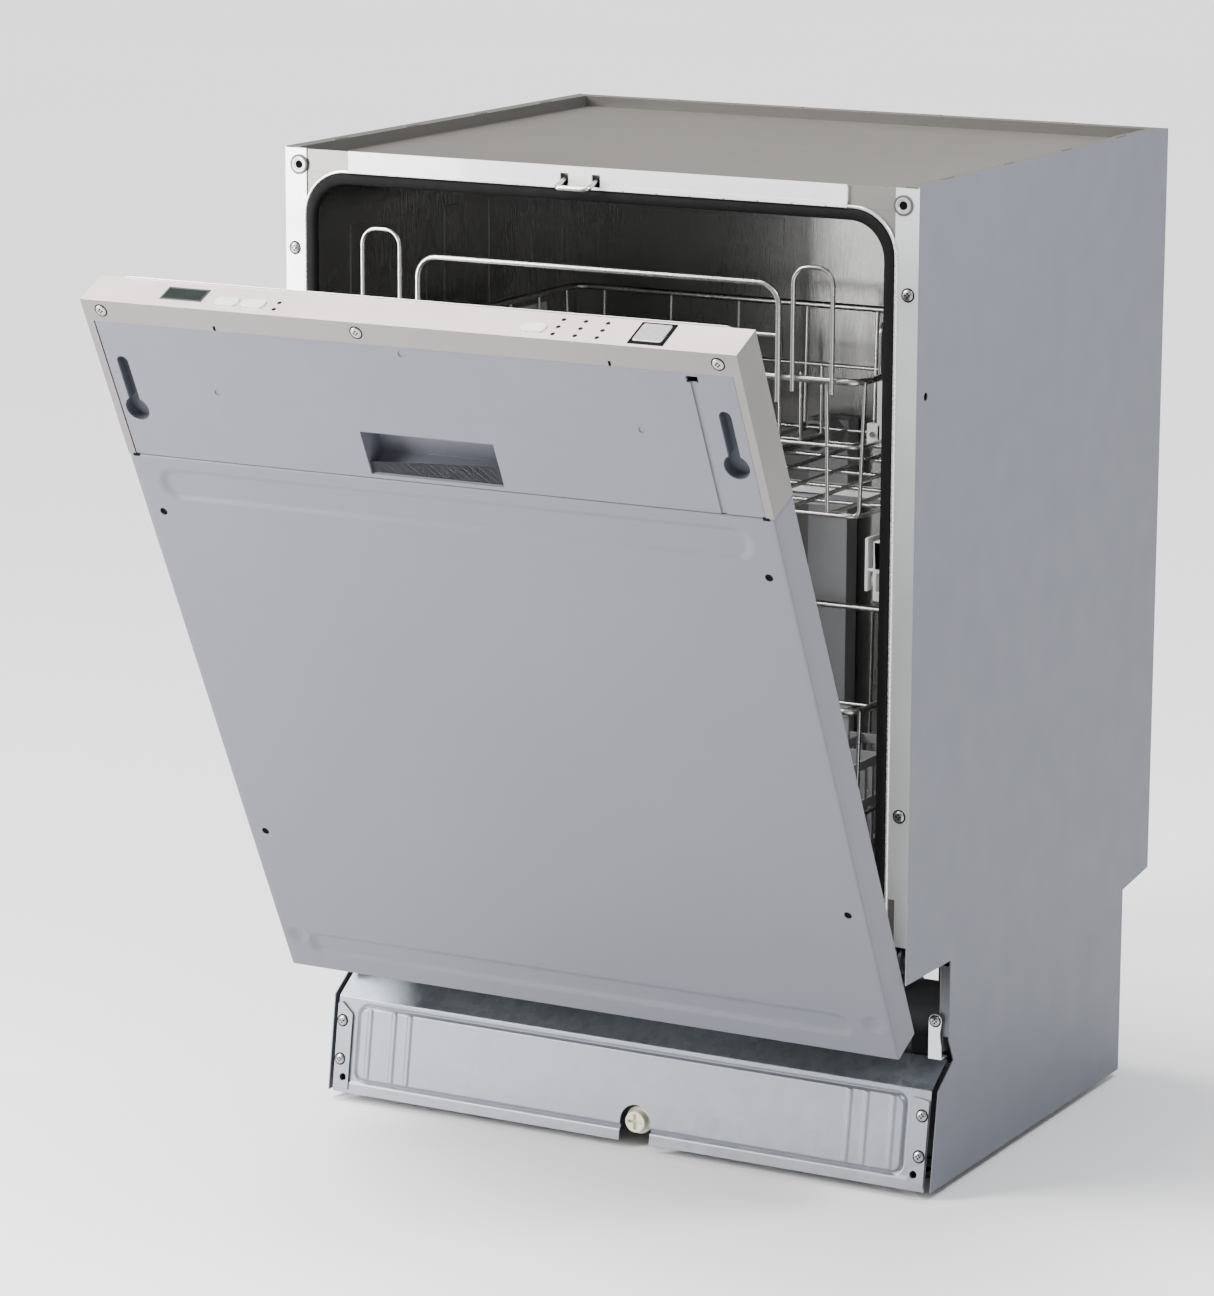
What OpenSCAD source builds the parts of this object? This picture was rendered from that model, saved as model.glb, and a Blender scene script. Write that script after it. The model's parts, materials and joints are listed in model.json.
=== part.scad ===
// Built in dishwasher with its furniture door front removed.
// Frame: X to the right, Y towards the back, Z up, millimetres.
// The origin lies on the floor, half way across, on the cabinet's front plane.
// The door stands part open about the hinge line, and both baskets are home in the tub.

/* [Cabinet] */
// Outside width of the cabinet
body_w = 598; // [590:1:600]
// Height of the cabinet's top edge above the floor
body_h = 865; // [845:1:890]
// Depth of the cabinet behind its front plane
body_d = 520; // [510:1:545]
// Thickness of the pressed steel sheet
sheet_t = 1; // [0.8:0.1:1.2]
// Height of the bottom edges above the floor
base_z = 8; // [6:1:10]
// Width of each upright strip beside the opening
strip_w = 21; // [20:0.5:21.5]
// Depth of the hinge cut-out in each side panel
notch_d = 88; // [86:1:90]
// Depth of the service recess at the foot of the back
rear_d = 58; // [55:1:62]
// Height of the service recess
rear_h = 186; // [180:1:192]

/* [Tub] */
// Width inside the tub
tub_w = 556; // [552:1:556]
// Height of the tub's ceiling above the floor
tub_top = 845; // [835:1:846]
// Radius of the tub's long corners
tub_r = 38; // [30:1:42]
// Distance from the front plane to the tub's back wall
tub_back = 478; // [474:1:482]

/* [Door] */
// Angle at which the door stands open
door_angle = 26; // [0:1:90]
// Width of the door
door_w = 593; // [588:1:593]
// Height of the door's top face above the floor when it is shut
door_top = 860; // [855:1:861]
// Height of the door's bottom edge above the floor when it is shut
door_low = 158; // [156:1:164]
// Distance from the front plane forward to the door's outer face
door_out = 39; // [36:0.5:40]
// Depth of the control panel's top face
fascia_d = 35; // [33:0.5:35]
// Height of the control panel's front lip
lip_h = 20; // [18:0.5:22]
// Height of the plastic upper cover and of the control panel's side cheeks
cover_h = 151; // [146:1:156]
// Height of the hinge line above the floor
hinge_z = 222; // [220:1:224]
// Distance of the hinge line behind the front plane
hinge_y = 15; // [14:0.5:16]

/* [Plinth] */
// Recess of the plinth's bottom edge behind the front plane
plinth_y = 55; // [52:1:58]
// Lean of the plinth's face from bottom to top
plinth_lean = 13; // [10:1:15]
// Height of the plinth's face
plinth_top = 94; // [92:1:96]
// Depth of the sloping shelf above the plinth's face
shelf_d = 30; // [28:1:31]
// Rise of the sloping shelf
shelf_rise = 20; // [18:1:21]

/* [Baskets] */
// How far the upper basket's front stands from the front plane
upper_y = 15; // [15:1:18]
// Height of the upper basket's floor
upper_z = 588; // [586:1:600]
// How far the lower basket's front stands from the front plane
lower_y = 14; // [13:1:18]
// Height of the lower basket's floor
lower_z = 245; // [244:1:250]
// Length of each basket from front to back
basket_d = 392; // [370:1:394]
// Half width of each basket
basket_x = 241; // [232:1:241]
// Thickness of a basket's rim wire
rim_d = 6; // [5:0.5:6.5]
// Thickness of a basket's other wires
wire_d = 3.6; // [3:0.2:4.2]

/* [Hidden] */

half_w = body_w / 2;
panel_in = half_w - sheet_t;
strip_low = 236;
notch_top = 204;
notch_low = 134;
shelf_y = plinth_y + plinth_lean + shelf_d;
shelf_z = plinth_top + shelf_rise;
tub_low = 208.6;
tub_t = 1.2;
tub_mid_z = (tub_top + tub_low) / 2;
low_y = 5.6;
tub_h = tub_top - tub_low;
hub_y = 230;
cup_x = 66;
cup_y = 296;
face_y = -door_out;
back_y = face_y + fascia_d;
seam_z = door_top - cover_h;
door_x = door_w / 2;
lean_a = atan(plinth_lean / (plinth_top - base_z));
face_len = sqrt(pow(plinth_lean, 2) + pow(plinth_top - base_z, 2));
round_n = 48;
wire_n = 8;
mat_gap = 0.06;

steel_light = [0.68, 0.70, 0.74];
steel_dark = [0.42, 0.43, 0.45];
stainless = [0.72, 0.71, 0.70];
top_grey = [0.47, 0.46, 0.44];
galvanised = [0.66, 0.68, 0.71];
plastic_grey = [0.60, 0.61, 0.66];
panel_blue = [0.58, 0.59, 0.64];
cream = [0.86, 0.85, 0.76];
white = [0.92, 0.92, 0.92];
black = [0.07, 0.07, 0.08];
dark = [0.16, 0.17, 0.18];
wire_grey = [0.64, 0.64, 0.62];
button_white = [0.93, 0.91, 0.90];

// Extrude a drawing of X and Z from y0 to y1
module in_y(y0, y1) {
    translate([0, y1, 0]) rotate([90, 0, 0]) linear_extrude(y1 - y0) children();
}

// Extrude a drawing of Y and Z from x0 to x1
module in_x(x0, x1) {
    translate([x0, 0, 0]) rotate([90, 0, 90]) linear_extrude(x1 - x0) children();
}

// Turn the shut door's parts to where the door stands
module on_door() {
    translate([0, hinge_y, hinge_z]) rotate([door_angle, 0, 0])
        translate([0, -hinge_y, -hinge_z]) children();
}

// Turn flat parts on to the plinth's leaning face
module on_plinth() {
    translate([0, plinth_y, base_z]) rotate([-lean_a, 0, 0]) children();
}

module rounded_rect(w, h, r) {
    square([w - 2 * r, h], center = true);
    square([w, h - 2 * r], center = true);
    for (sx = [-1, 1], sz = [-1, 1])
        translate([sx * (w / 2 - r), sz * (h / 2 - r)]) circle(r = r, $fn = round_n);
}

module ring_rect(w, h, r, band) {
    difference() {
        rounded_rect(w, h, r);
        rounded_rect(w - 2 * band, h - 2 * band, r - band);
    }
}

module box(x0, x1, y0, y1, z0, z1) {
    translate([x0, y0, z0]) cube([x1 - x0, y1 - y0, z1 - z0]);
}

// Straight wire between two points
module wire(a, b, d) {
    v = b - a;
    l = norm(v);
    translate(a) rotate([0, acos(v[2] / l), atan2(v[1], v[0])])
        cylinder(h = l, d = d, $fn = wire_n);
}

// Round bar between two points
module rod(a, b, r) {
    v = b - a;
    l = norm(v);
    translate(a) rotate([0, acos(v[2] / l), atan2(v[1], v[0])])
        cylinder(h = l, r = r, $fn = round_n);
}

// Cylinder along Y that starts at y0
module tube_y(x, z, y0, y1, r) {
    translate([x, y0, z]) rotate([-90, 0, 0]) cylinder(h = y1 - y0, r = r, $fn = round_n);
}

// Cylinder along X that starts at x0
module tube_x(y, z, x0, x1, r) {
    translate([x0, y, z]) rotate([0, 90, 0]) cylinder(h = x1 - x0, r = r, $fn = round_n);
}

// Cross head screw whose head stands on the plane y = 0 and faces forward
module screw_head(r, h) {
    difference() {
        rotate([90, 0, 0]) cylinder(h = h, r1 = r, r2 = r * 0.82, $fn = 32);
        translate([0, -h, 0]) cube([r * 1.1, h * 1.1, r * 0.26], center = true);
        translate([0, -h, 0]) cube([r * 0.26, h * 1.1, r * 1.1], center = true);
    }
}

module side_profile() {
    polygon([[0, notch_top], [0, body_h], [body_d, body_h], [body_d, rear_h],
        [body_d - rear_d, rear_h - 8], [body_d - rear_d, base_z], [plinth_y + 0.6, base_z],
        [plinth_y + plinth_lean + 0.6, plinth_top + 0.3], [shelf_y, shelf_z + 0.3],
        [notch_d, notch_low], [notch_d, notch_top]]);
}

module side_panel() {
    color(steel_light) difference() {
        union() {
            in_x(panel_in, half_w) side_profile();
            box(half_w - strip_w, panel_in, 0, sheet_t, strip_low, body_h - sheet_t);
            box(panel_in - 14, panel_in, body_d - sheet_t, body_d, rear_h + 2, body_h - 2);
        }
        tube_x(18, 694, panel_in - 2, half_w + 1, 3.5);
        tube_y(half_w - 14, 850, -1, 3, 6.2);
        box(half_w - strip_w - 1, half_w - strip_w + 9, -1, 3, strip_low - 1, 276);
    }
}

module side_panel_left() {
    mirror([1, 0, 0]) side_panel();
}

module side_panel_right() {
    side_panel();
}

module top_rim(len) {
    difference() {
        cube([13, len, 11]);
        translate([sheet_t, -1, -1]) cube([13 - 2 * sheet_t, len + 2, 11]);
    }
}

module top_panel() {
    rim_x = panel_in - 0.2;
    color(top_grey) union() {
        box(-rim_x, rim_x, 2.6, body_d - 2.6, body_h - 11, body_h - 10);
        translate([rim_x - 13, 2.6, body_h - 11]) top_rim(body_d - 5.2);
        translate([-rim_x, 2.6, body_h - 11]) top_rim(body_d - 5.2);
        translate([rim_x - 13, body_d - 15.6, body_h - 11]) rotate([0, 0, 90]) top_rim(2 * rim_x - 26);
        box(-rim_x + 13, rim_x - 13, 2.6, 3.6, body_h - 10, body_h - 3);
        for (s = [-1, 1], y = [60, 180, 300, 420])
            box(s * (rim_x - 9) - 2.5, s * (rim_x - 9) + 2.5, y, y + 22, body_h - 0.4, body_h + 0.6);
        for (x = [-200, -70, 70, 200])
            box(x - 11, x + 11, body_d - 11.5, body_d - 6.5, body_h - 0.4, body_h + 0.6);
    }
}

module back_panel() {
    mid = (rear_h + body_h) / 2;
    color(galvanised) union() {
        in_y(body_d - 2.2, body_d - 1.2) translate([0, mid - 5])
            square([2 * panel_in - 1, body_h - rear_h - 16], center = true);
        in_y(body_d - 3.6, body_d - 2.1) translate([0, mid]) ring_rect(500, 560, 30, 7);
        in_y(body_d - 3.6, body_d - 2.1) translate([0, mid]) ring_rect(300, 360, 30, 7);
        in_x(-panel_in + 0.5, panel_in - 0.5) polygon([[body_d - rear_d - 1, rear_h - 7],
            [body_d - 1.2, rear_h], [body_d - 1.2, rear_h + 2.9], [body_d - 2.2, rear_h + 2.9],
            [body_d - 2.2, rear_h + 1], [body_d - rear_d - 1, rear_h - 6]]);
    }
}

module tub_section(grow) {
    translate([0, tub_mid_z]) rounded_rect(tub_w + 2 * grow, tub_h + 2 * grow, tub_r + grow);
}

// Shallow funnel that leads the tub's floor down to the filter
module basin(grow) {
    translate([0, hub_y + 20, 189]) cylinder(h = tub_low - 188.9, r1 = 122 + grow, r2 = 178 + grow, $fn = 96);
}

// Quarter of a round corner of the tub's wrap, with its centre at the origin
module corner_arc() {
    intersection() {
        difference() {
            circle(r = tub_r + tub_t, $fn = round_n);
            circle(r = tub_r, $fn = round_n);
        }
        square(tub_r + tub_t);
    }
}

// Web of flange sheet between a round corner of the mouth and the straight flanges
module corner_web(w, h) {
    difference() {
        square([w, h]);
        circle(r = tub_r, $fn = round_n);
    }
}

// The wrap, back and flange are separate pressings whose seams are mat_gap wide
module tub() {
    wall = tub_w / 2;
    flat_x = wall - tub_r - mat_gap;
    low_c = tub_low + tub_r;
    top_c = tub_top - tub_r;
    wrap_y0 = 2.4 + mat_gap;
    wrap_y1 = tub_back - tub_t - mat_gap;
    color(stainless) union() {
        for (s = [-1, 1]) mirror([s < 0 ? 1 : 0, 0, 0]) {
            box(wall, wall + tub_t, wrap_y0, wrap_y1, low_c + mat_gap, top_c - mat_gap);
            for (y = [70, 150, 230, 310, 390], z = [[290, 500], [600, 790]])
                box(wall - 1.2, wall + 0.6, y, y + 26, z[0], z[1]);
            in_y(wrap_y0, wrap_y1) translate([wall - tub_r, top_c]) corner_arc();
            in_y(low_y, wrap_y1) translate([wall - tub_r, low_c]) mirror([0, 1]) corner_arc();
            in_y(1.2, 2.4) difference() {
                translate([wall, 240]) square([panel_in - 0.5 - wall, body_h - 1.5 - 240]);
                translate([half_w - 14, 850]) circle(r = 3.4, $fn = round_n);
            }
            in_y(1.2, 2.4) translate([wall - tub_r, top_c]) corner_web(tub_r - mat_gap, tub_r - mat_gap);
            in_y(1.2, 2.4) translate([wall - tub_r, low_c]) mirror([0, 1]) corner_web(tub_r - mat_gap, 35);
        }
        in_y(1.2, 2.4) difference() {
            translate([mat_gap - wall, tub_top]) square([2 * (wall - mat_gap), body_h - 1.5 - tub_top]);
            for (x = [-25, 5]) translate([x - 4, 847]) square([8, 11]);
        }
        box(-flat_x, flat_x, wrap_y0, wrap_y1, tub_top, tub_top + tub_t);
        in_y(tub_back - tub_t, tub_back) tub_section(tub_t);
        for (x = [-210, 60], z = [300, 420, 640, 740])
            box(x, x + 150, tub_back - tub_t - 1, tub_back - tub_t + 0.5, z, z + 26);
        difference() {
            union() {
                box(-flat_x, flat_x, low_y, wrap_y1, tub_low - tub_t, tub_low);
                basin(tub_t);
            }
            basin(0);
        }
    }
}

module door_seal() {
    color(black) difference() {
        in_y(-2.5, 9) translate([0, tub_mid_z])
            ring_rect(tub_w - 0.6, tub_h - 0.6, tub_r - 0.3, 9.4);
        box(-half_w, half_w, -3, 3.2, tub_low - 2, hinge_z);
    }
}

module top_trim() {
    color(white) difference() {
        union() {
            box(-235, 235, -1.8, -0.2, 848, body_h - 1);
            in_y(-2.2, -0.2) difference() {
                translate([-235, 845.6]) square([470, 4]);
                for (i = [-7 : 7]) translate([i * 31, 844.8]) circle(r = 1.6, $fn = 24);
            }
            for (x = [-228, 228]) box(x - 7, x + 7, -0.3, 1.1, 850, 862);
        }
        for (x = [-25, 5]) box(x - 4, x + 4, -3, 2, 847, 858);
    }
}

module striker() {
    color(stainless) translate([-10, 0, 853]) rotate([18, 0, 0]) union() {
        for (s = [-1, 1]) tube_y(s * 15, 0, -14, 2, 2);
        rod([-11, -18, 0], [11, -18, 0], 2);
        for (s = [-1, 1]) translate([s * 11, -14, 0]) rotate([0, 0, s > 0 ? -90 : 180])
            rotate_extrude(angle = 90, $fn = round_n) translate([4, 0]) circle(r = 2, $fn = 24);
    }
}

module frame_fasteners() {
    color(dark) for (s = [-1, 1]) translate([s * (half_w - 14), 0, 850]) difference() {
        union() {
            tube_y(0, 0, -1.4, 0, 8.5);
            tube_y(0, 0, -1.4, 1, 6);
        }
        tube_y(0, 0, -3, 3, 3.2);
    }
}

module cabinet_screws() {
    color(stainless) union() {
        for (s = [-1, 1], z = [347, 778]) translate([s * 290, 0, z]) screw_head(4.8, 1.8);
        for (s = [-1, 1], z = [30, 65]) on_plinth() translate([s * 287, -2.6, z]) screw_head(4.6, 2);
        for (s = [-1, 1]) translate([s * 287, 85, 150]) screw_head(4.4, 1.8);
    }
}

module plinth_panel() {
    color(galvanised) difference() {
        union() {
            in_x(-293, 293) polygon([[plinth_y, base_z], [plinth_y + plinth_lean, plinth_top],
                [shelf_y, shelf_z], [shelf_y, shelf_z - 1.2], [plinth_y + plinth_lean + 0.8, plinth_top - 1],
                [plinth_y + 1.2, base_z]]);
            on_plinth() in_y(-1.6, 0.4) translate([0, face_len / 2 + 2]) ring_rect(540, 68, 12, 5);
            on_plinth() for (s = [-1, 1], x = [218, 234, 259])
                in_y(-1.6, 0.4) translate([s * x, face_len / 2 + 2]) rounded_rect(5, 50, 2);
            on_plinth() in_y(-2.6, 0.4) for (s = [-1, 1])
                translate([s * 285, 0]) polygon([[-8, 4], [8, 4], [8, 68], [s * -8 > 0 ? 8 : 2, 78], [-8, 78]]);
            on_plinth() box(-293, 293, -0.9, 0.4, 0.2, 3);
        }
        on_plinth() for (s = [-1, 1]) tube_y(s * 283, 14, -5, 4, 3.2);
        in_y(plinth_y - 8, plinth_y + 20) union() {
            translate([15, base_z + 18]) circle(r = 15, $fn = round_n);
            translate([0, base_z - 2]) square([30, 20]);
        }
    }
}

module plinth_brackets() {
    color(steel_light) for (s = [-1, 1]) mirror([s < 0 ? 1 : 0, 0, 0]) difference() {
        union() {
            in_y(85, 86.6) union() {
                translate([281, 118]) square([12, 32]);
                translate([287, 150]) circle(r = 6, $fn = round_n);
                translate([281, 150]) square([12, 2]);
            }
            box(281, 293, 85, shelf_y, 116.2, 118);
        }
        tube_y(287, 150, 80, 90, 2.2);
    }
}

module hinge_brackets() {
    color(dark) for (s = [-1, 1]) mirror([s < 0 ? 1 : 0, 0, 0]) difference() {
        union() {
            in_x(289, 292) union() {
                translate([hinge_y, hinge_z]) circle(r = 12, $fn = round_n);
                translate([hinge_y, hinge_z - 10]) square([84, 20]);
                translate([90, 122]) square([9, 120]);
            }
            box(289, panel_in - 0.2, 90, 92.5, 136, 198);
            box(289, panel_in - 0.2, 40, 84, 229.5, 232);
        }
        tube_x(hinge_y, hinge_z, 280, 300, 5.06);
        tube_x(60, hinge_z, 280, 300, 2.4);
    }
}

module balance_springs() {
    color(steel_dark) for (s = [-1, 1]) mirror([s < 0 ? 1 : 0, 0, 0]) union() {
        difference() {
            tube_y(283, 128, 130, 330, 8);
            tube_y(283, 128, 126, 334, 5.6);
        }
        for (i = [0 : 12]) tube_y(283, 128, 136 + i * 15, 141 + i * 15, 8.6);
        tube_y(283, 128, 325, 360, 1.6);
        tube_y(283, 128, 106, 136, 1.6);
        rod([283, 106, 127], [283, 106, 214], 1.6);
        tube_x(106, 212, 280, 288.8, 6);
        box(276, 290, 356, 360, 118, 140);
        difference() {
            tube_y(283, 128, 325, 329, 8.2);
            tube_y(283, 128, 324, 330, 1.4);
        }
        tube_y(283, 128, 131, 135, 8.2);
    }
}

module base_tray() {
    wall_y = body_d - rear_d - 4;
    color(dark) difference() {
        union() {
            difference() {
                box(-296, 296, 100, wall_y, 40, 110);
                box(-293, 293, 103, wall_y - 3, 43, 120);
            }
            box(-296, 296, wall_y - 3, wall_y, 40, 174);
            for (s = [-1, 1]) translate([s * 262, 130, 20]) cylinder(h = 21, r = 12, $fn = round_n);
            translate([15, 420, 33]) cylinder(h = 8, r = 14, $fn = round_n);
        }
        for (s = [-1, 1]) translate([s * 262, 130, 10]) cylinder(h = 60, r = 4.4, $fn = round_n);
        translate([15, 420, 30]) cylinder(h = 30, r = 5.4, $fn = round_n);
        tube_y(200, 120, wall_y - 10, wall_y + 10, 15.5);
        tube_y(-200, 90, wall_y - 10, wall_y + 10, 11.5);
        tube_y(-110, 75, wall_y - 10, wall_y + 10, 8);
        box(20, 120, wall_y - 10, wall_y + 10, 60, 120);
    }
}

module sump() {
    color(dark) difference() {
        translate([0, hub_y + 20, 124]) cylinder(h = 63.6, r = 122, $fn = 96);
        translate([0, hub_y + 20, 127]) cylinder(h = 80, r = 119, $fn = 96);
        translate([cup_x, cup_y, 120]) cylinder(h = 10, r = 12, $fn = round_n);
    }
}

module filter_plate() {
    color(stainless) difference() {
        union() {
            translate([0, hub_y + 20, 190]) cylinder(h = 1.4, r = 121, $fn = 96);
            translate([0, hub_y, 190]) cylinder(h = 22, r = 16, $fn = round_n);
            translate([0, hub_y, 190]) cylinder(h = 36, r = 6, $fn = round_n);
        }
        translate([cup_x, cup_y, 180]) cylinder(h = 20, r = 31, $fn = round_n);
        for (a = [0 : 20 : 340]) translate([105 * cos(a), hub_y + 20 + 105 * sin(a), 185])
            cylinder(h = 10, r = 4, $fn = 24);
    }
}

module filter_cup() {
    color(plastic_grey) difference() {
        union() {
            translate([cup_x, cup_y, 140]) cylinder(h = 52, r = 28, $fn = round_n);
            translate([cup_x, cup_y, 191.7]) cylinder(h = 3, r = 34, $fn = round_n);
            translate([cup_x, cup_y, 196]) cube([52, 5, 9], center = true);
        }
        translate([cup_x, cup_y, 143]) cylinder(h = 45, r = 25, $fn = round_n);
        for (s = [-1, 1]) translate([cup_x, cup_y + s * 14, 180]) cylinder(h = 20, r = 8, $fn = round_n);
    }
}

module wash_pump() {
    color(dark) union() {
        tube_x(290, 82, -250, -150, 37);
        tube_x(290, 82, -152, -118, 33);
        tube_x(290, 82, -262, -248, 22);
        for (x = [-240 : 18 : -160]) tube_x(290, 82, x, x + 5, 38.5);
        box(-225, -165, 262, 318, 43.5, 60);
        rod([-135, 290, 82], [-105, 290, 82], 14);
    }
}

module drain_pump() {
    color(plastic_grey) union() {
        tube_x(330, 80, 150, 205, 27);
        tube_x(330, 80, 128, 152, 32);
        box(160, 200, 312, 348, 43.5, 60);
        rod([140, 330, 80], [118, 330, 80], 11);
    }
}

module inlet_valve() {
    wall_y = body_d - rear_d - 4;
    color(white) union() {
        tube_y(200, 120, wall_y - 40, wall_y + 14, 15);
        tube_y(200, 120, wall_y + 13, wall_y + 30, 13.2);
        box(178, 222, wall_y - 66, wall_y - 38, 98, 142);
    }
}

module drain_spigot() {
    wall_y = body_d - rear_d - 4;
    color(plastic_grey) difference() {
        union() {
            tube_y(-200, 90, wall_y - 30, wall_y + 8, 11);
            tube_y(-200, 90, wall_y + 7, wall_y + 34, 9.5);
            tube_y(-200, 90, wall_y + 0.2, wall_y + 4, 15);
        }
        tube_y(-200, 90, wall_y - 31, wall_y + 35, 7.5);
    }
}

module feed_pipe() {
    color(plastic_grey) union() {
        difference() {
            translate([0, 464, 400]) cube([40, 22, 376], center = true);
            translate([0, 464, 400]) cube([34, 16, 384], center = true);
        }
        difference() {
            tube_y(0, 575, 422, 456, 16);
            tube_y(0, 575, 421, 460, 12.5);
        }
        box(-20, 20, 453, 475, 586, 588);
    }
}

// Two bladed arm with a raised hub and outlet holes along each blade
module spray_arm(reach, bore) {
    difference() {
        union() {
            for (s = [-1, 1]) rotate([0, 0, s > 0 ? 0 : 180]) linear_extrude(9) union() {
                polygon([[0, -24], [reach - 14, -13], [reach - 14, 13], [0, 24]]);
                translate([reach - 14, 0]) circle(r = 13, $fn = round_n);
            }
            cylinder(h = 13, r = 27, $fn = round_n);
            for (s = [-1, 1]) rotate([0, 0, s > 0 ? 0 : 180]) translate([30, -3, 8]) cube([reach - 60, 6, 3]);
        }
        translate([0, 0, -1]) cylinder(h = 30, r = bore, $fn = round_n);
        for (s = [-1, 1], i = [0 : 4]) translate([s * (52 + i * 28), s * 8, -1])
            cylinder(h = 30, r = 1.8, $fn = 16);
    }
}

module lower_spray_arm() {
    color(plastic_grey) translate([0, hub_y, 212.6]) rotate([0, 0, 25]) spray_arm(176, 6.08);
}

module rack_rails() {
    web_x = 274.6 - mat_gap;
    color(stainless) for (s = [-1, 1]) mirror([s < 0 ? 1 : 0, 0, 0]) union() {
        box(274.6, 276.6, 22, 462, 526, 568);
        box(257, web_x, 22, 462, 526, 528);
        box(264, web_x, 22, 462, 566, 568);
        tube_x(32, 536.7, 249.5, web_x, 2.5);
        for (y = [120, 360]) tube_x(y, 547, 272.6, web_x, 6);
    }
}

module rail_stops() {
    color(white) for (s = [-1, 1]) mirror([s < 0 ? 1 : 0, 0, 0]) difference() {
        box(257, 277, 12, 21.6, 522, 572);
        box(260, 272, 11, 18, 530, 545);
        box(260, 272, 11, 18, 550, 565);
    }
}

module rail_roller(s) {
    color(white) difference() {
        tube_x(32, 536.7, s > 0 ? 250 : -256, s > 0 ? 256 : -250, 8);
        tube_x(32, 536.7, -300, 300, 2.56);
    }
}

module rail_roller_left() {
    rail_roller(-1);
}

module rail_roller_right() {
    rail_roller(1);
}

module front_foot(s) {
    color(black) translate([s * 262, 130, 0]) union() {
        cylinder(h = 6, r = 18, $fn = round_n);
        translate([0, 0, 5]) cylinder(h = 9, r = 9, $fn = 6);
        translate([0, 0, 12]) cylinder(h = 50, r = 4.34, $fn = round_n);
    }
}

module front_foot_left() {
    front_foot(-1);
}

module front_foot_right() {
    front_foot(1);
}

module rear_foot() {
    color(black) translate([15, 420, 0]) union() {
        cylinder(h = 6, r = 18, $fn = round_n);
        translate([0, 0, 5]) cylinder(h = 50, r = 5.34, $fn = round_n);
        translate([0, 0, 8]) cylinder(h = 7, r = 11, $fn = round_n);
    }
}

module rear_foot_adjuster() {
    color(cream) union() {
        difference() {
            tube_y(15, base_z + 18, 56, 72, 9.5);
            box(13.6, 16.4, 55, 60, base_z + 11, base_z + 25);
            box(8, 22, 55, 60, base_z + 16.6, base_z + 19.4);
        }
        tube_y(15, base_z + 18, 64, 68, 12.5);
        tube_y(15, base_z + 18, 71, 404, 3);
        tube_y(15, base_z + 18, 396, 408, 6);
    }
}

// Long bead with round ends on the door's face
module face_bead(x, z, w, h, y0, y1) {
    in_y(face_y + y0, face_y + y1) translate([x, z]) rounded_rect(w, h, h / 2 - 0.5);
}

module door_panel() {
    high = seam_z - 27;
    low = door_low + 30;
    color(panel_blue) on_door() difference() {
        union() {
            difference() {
                box(-door_x, door_x, face_y, back_y - 2, door_low, seam_z - 0.4);
                box(-door_x + 1, door_x - 1, face_y + 1, back_y, door_low + 1, seam_z - 1.4);
            }
            face_bead(-1, high, 546, 32, 0.9, 2.6);
            face_bead(-6, low, 530, 25, 0.9, 2.6);
        }
        face_bead(-1, high, 542, 28, -1, 1.6);
        face_bead(-6, low, 526, 21, -1, 1.6);
        for (s = [-1, 1], z = [312, 652]) tube_y(s * 280, z, face_y - 3, face_y + 3, 3.5);
        for (s = [-1, 1]) tube_y(s * 280, low + 6, face_y - 3, face_y + 0.5, 6.5);
    }
}

module door_cover() {
    color(plastic_grey) on_door() difference() {
        union() {
            box(-289, 289, face_y + 0.6, face_y + 3.1, seam_z + 0.3, door_top - lip_h - 0.3);
            in_x(-66, 63) polygon([[face_y + 2, seam_z + 0.4], [face_y + 2, 759],
                [-12, 751], [-12, seam_z + 8]]);
            for (x = [-200, 200]) box(x - 1.2, x + 1.2, face_y + 3, face_y + 9, seam_z + 1, 830);
        }
        in_x(-62.5, 59.5) polygon([[face_y - 1, seam_z + 3.2], [face_y - 1, 754.5],
            [face_y + 2, 753.5], [-14.5, 747], [-14.5, seam_z + 11]]);
        for (s = [-1, 1]) {
            tube_y(s * 274, door_top - 105, face_y - 1, face_y + 4, 11);
            box(s * 274 - 5.2, s * 274 + 5.2, face_y - 1, face_y + 4, door_top - 105, door_top - 59);
            tube_y(s * 274, door_top - 59, face_y - 1, face_y + 4, 5.2);
        }
        box(251, 256, face_y - 1, face_y + 1.8, seam_z - 1, door_top - 29);
        box(248, 258, face_y - 1, face_y + 4, door_top - 29, door_top - 23.5);
        for (p = [[-189, 81], [-3, 27], [198, 78]])
            tube_y(p[0], door_top - p[1], face_y - 1, face_y + 1.4, 2.8);
    }
}

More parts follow.
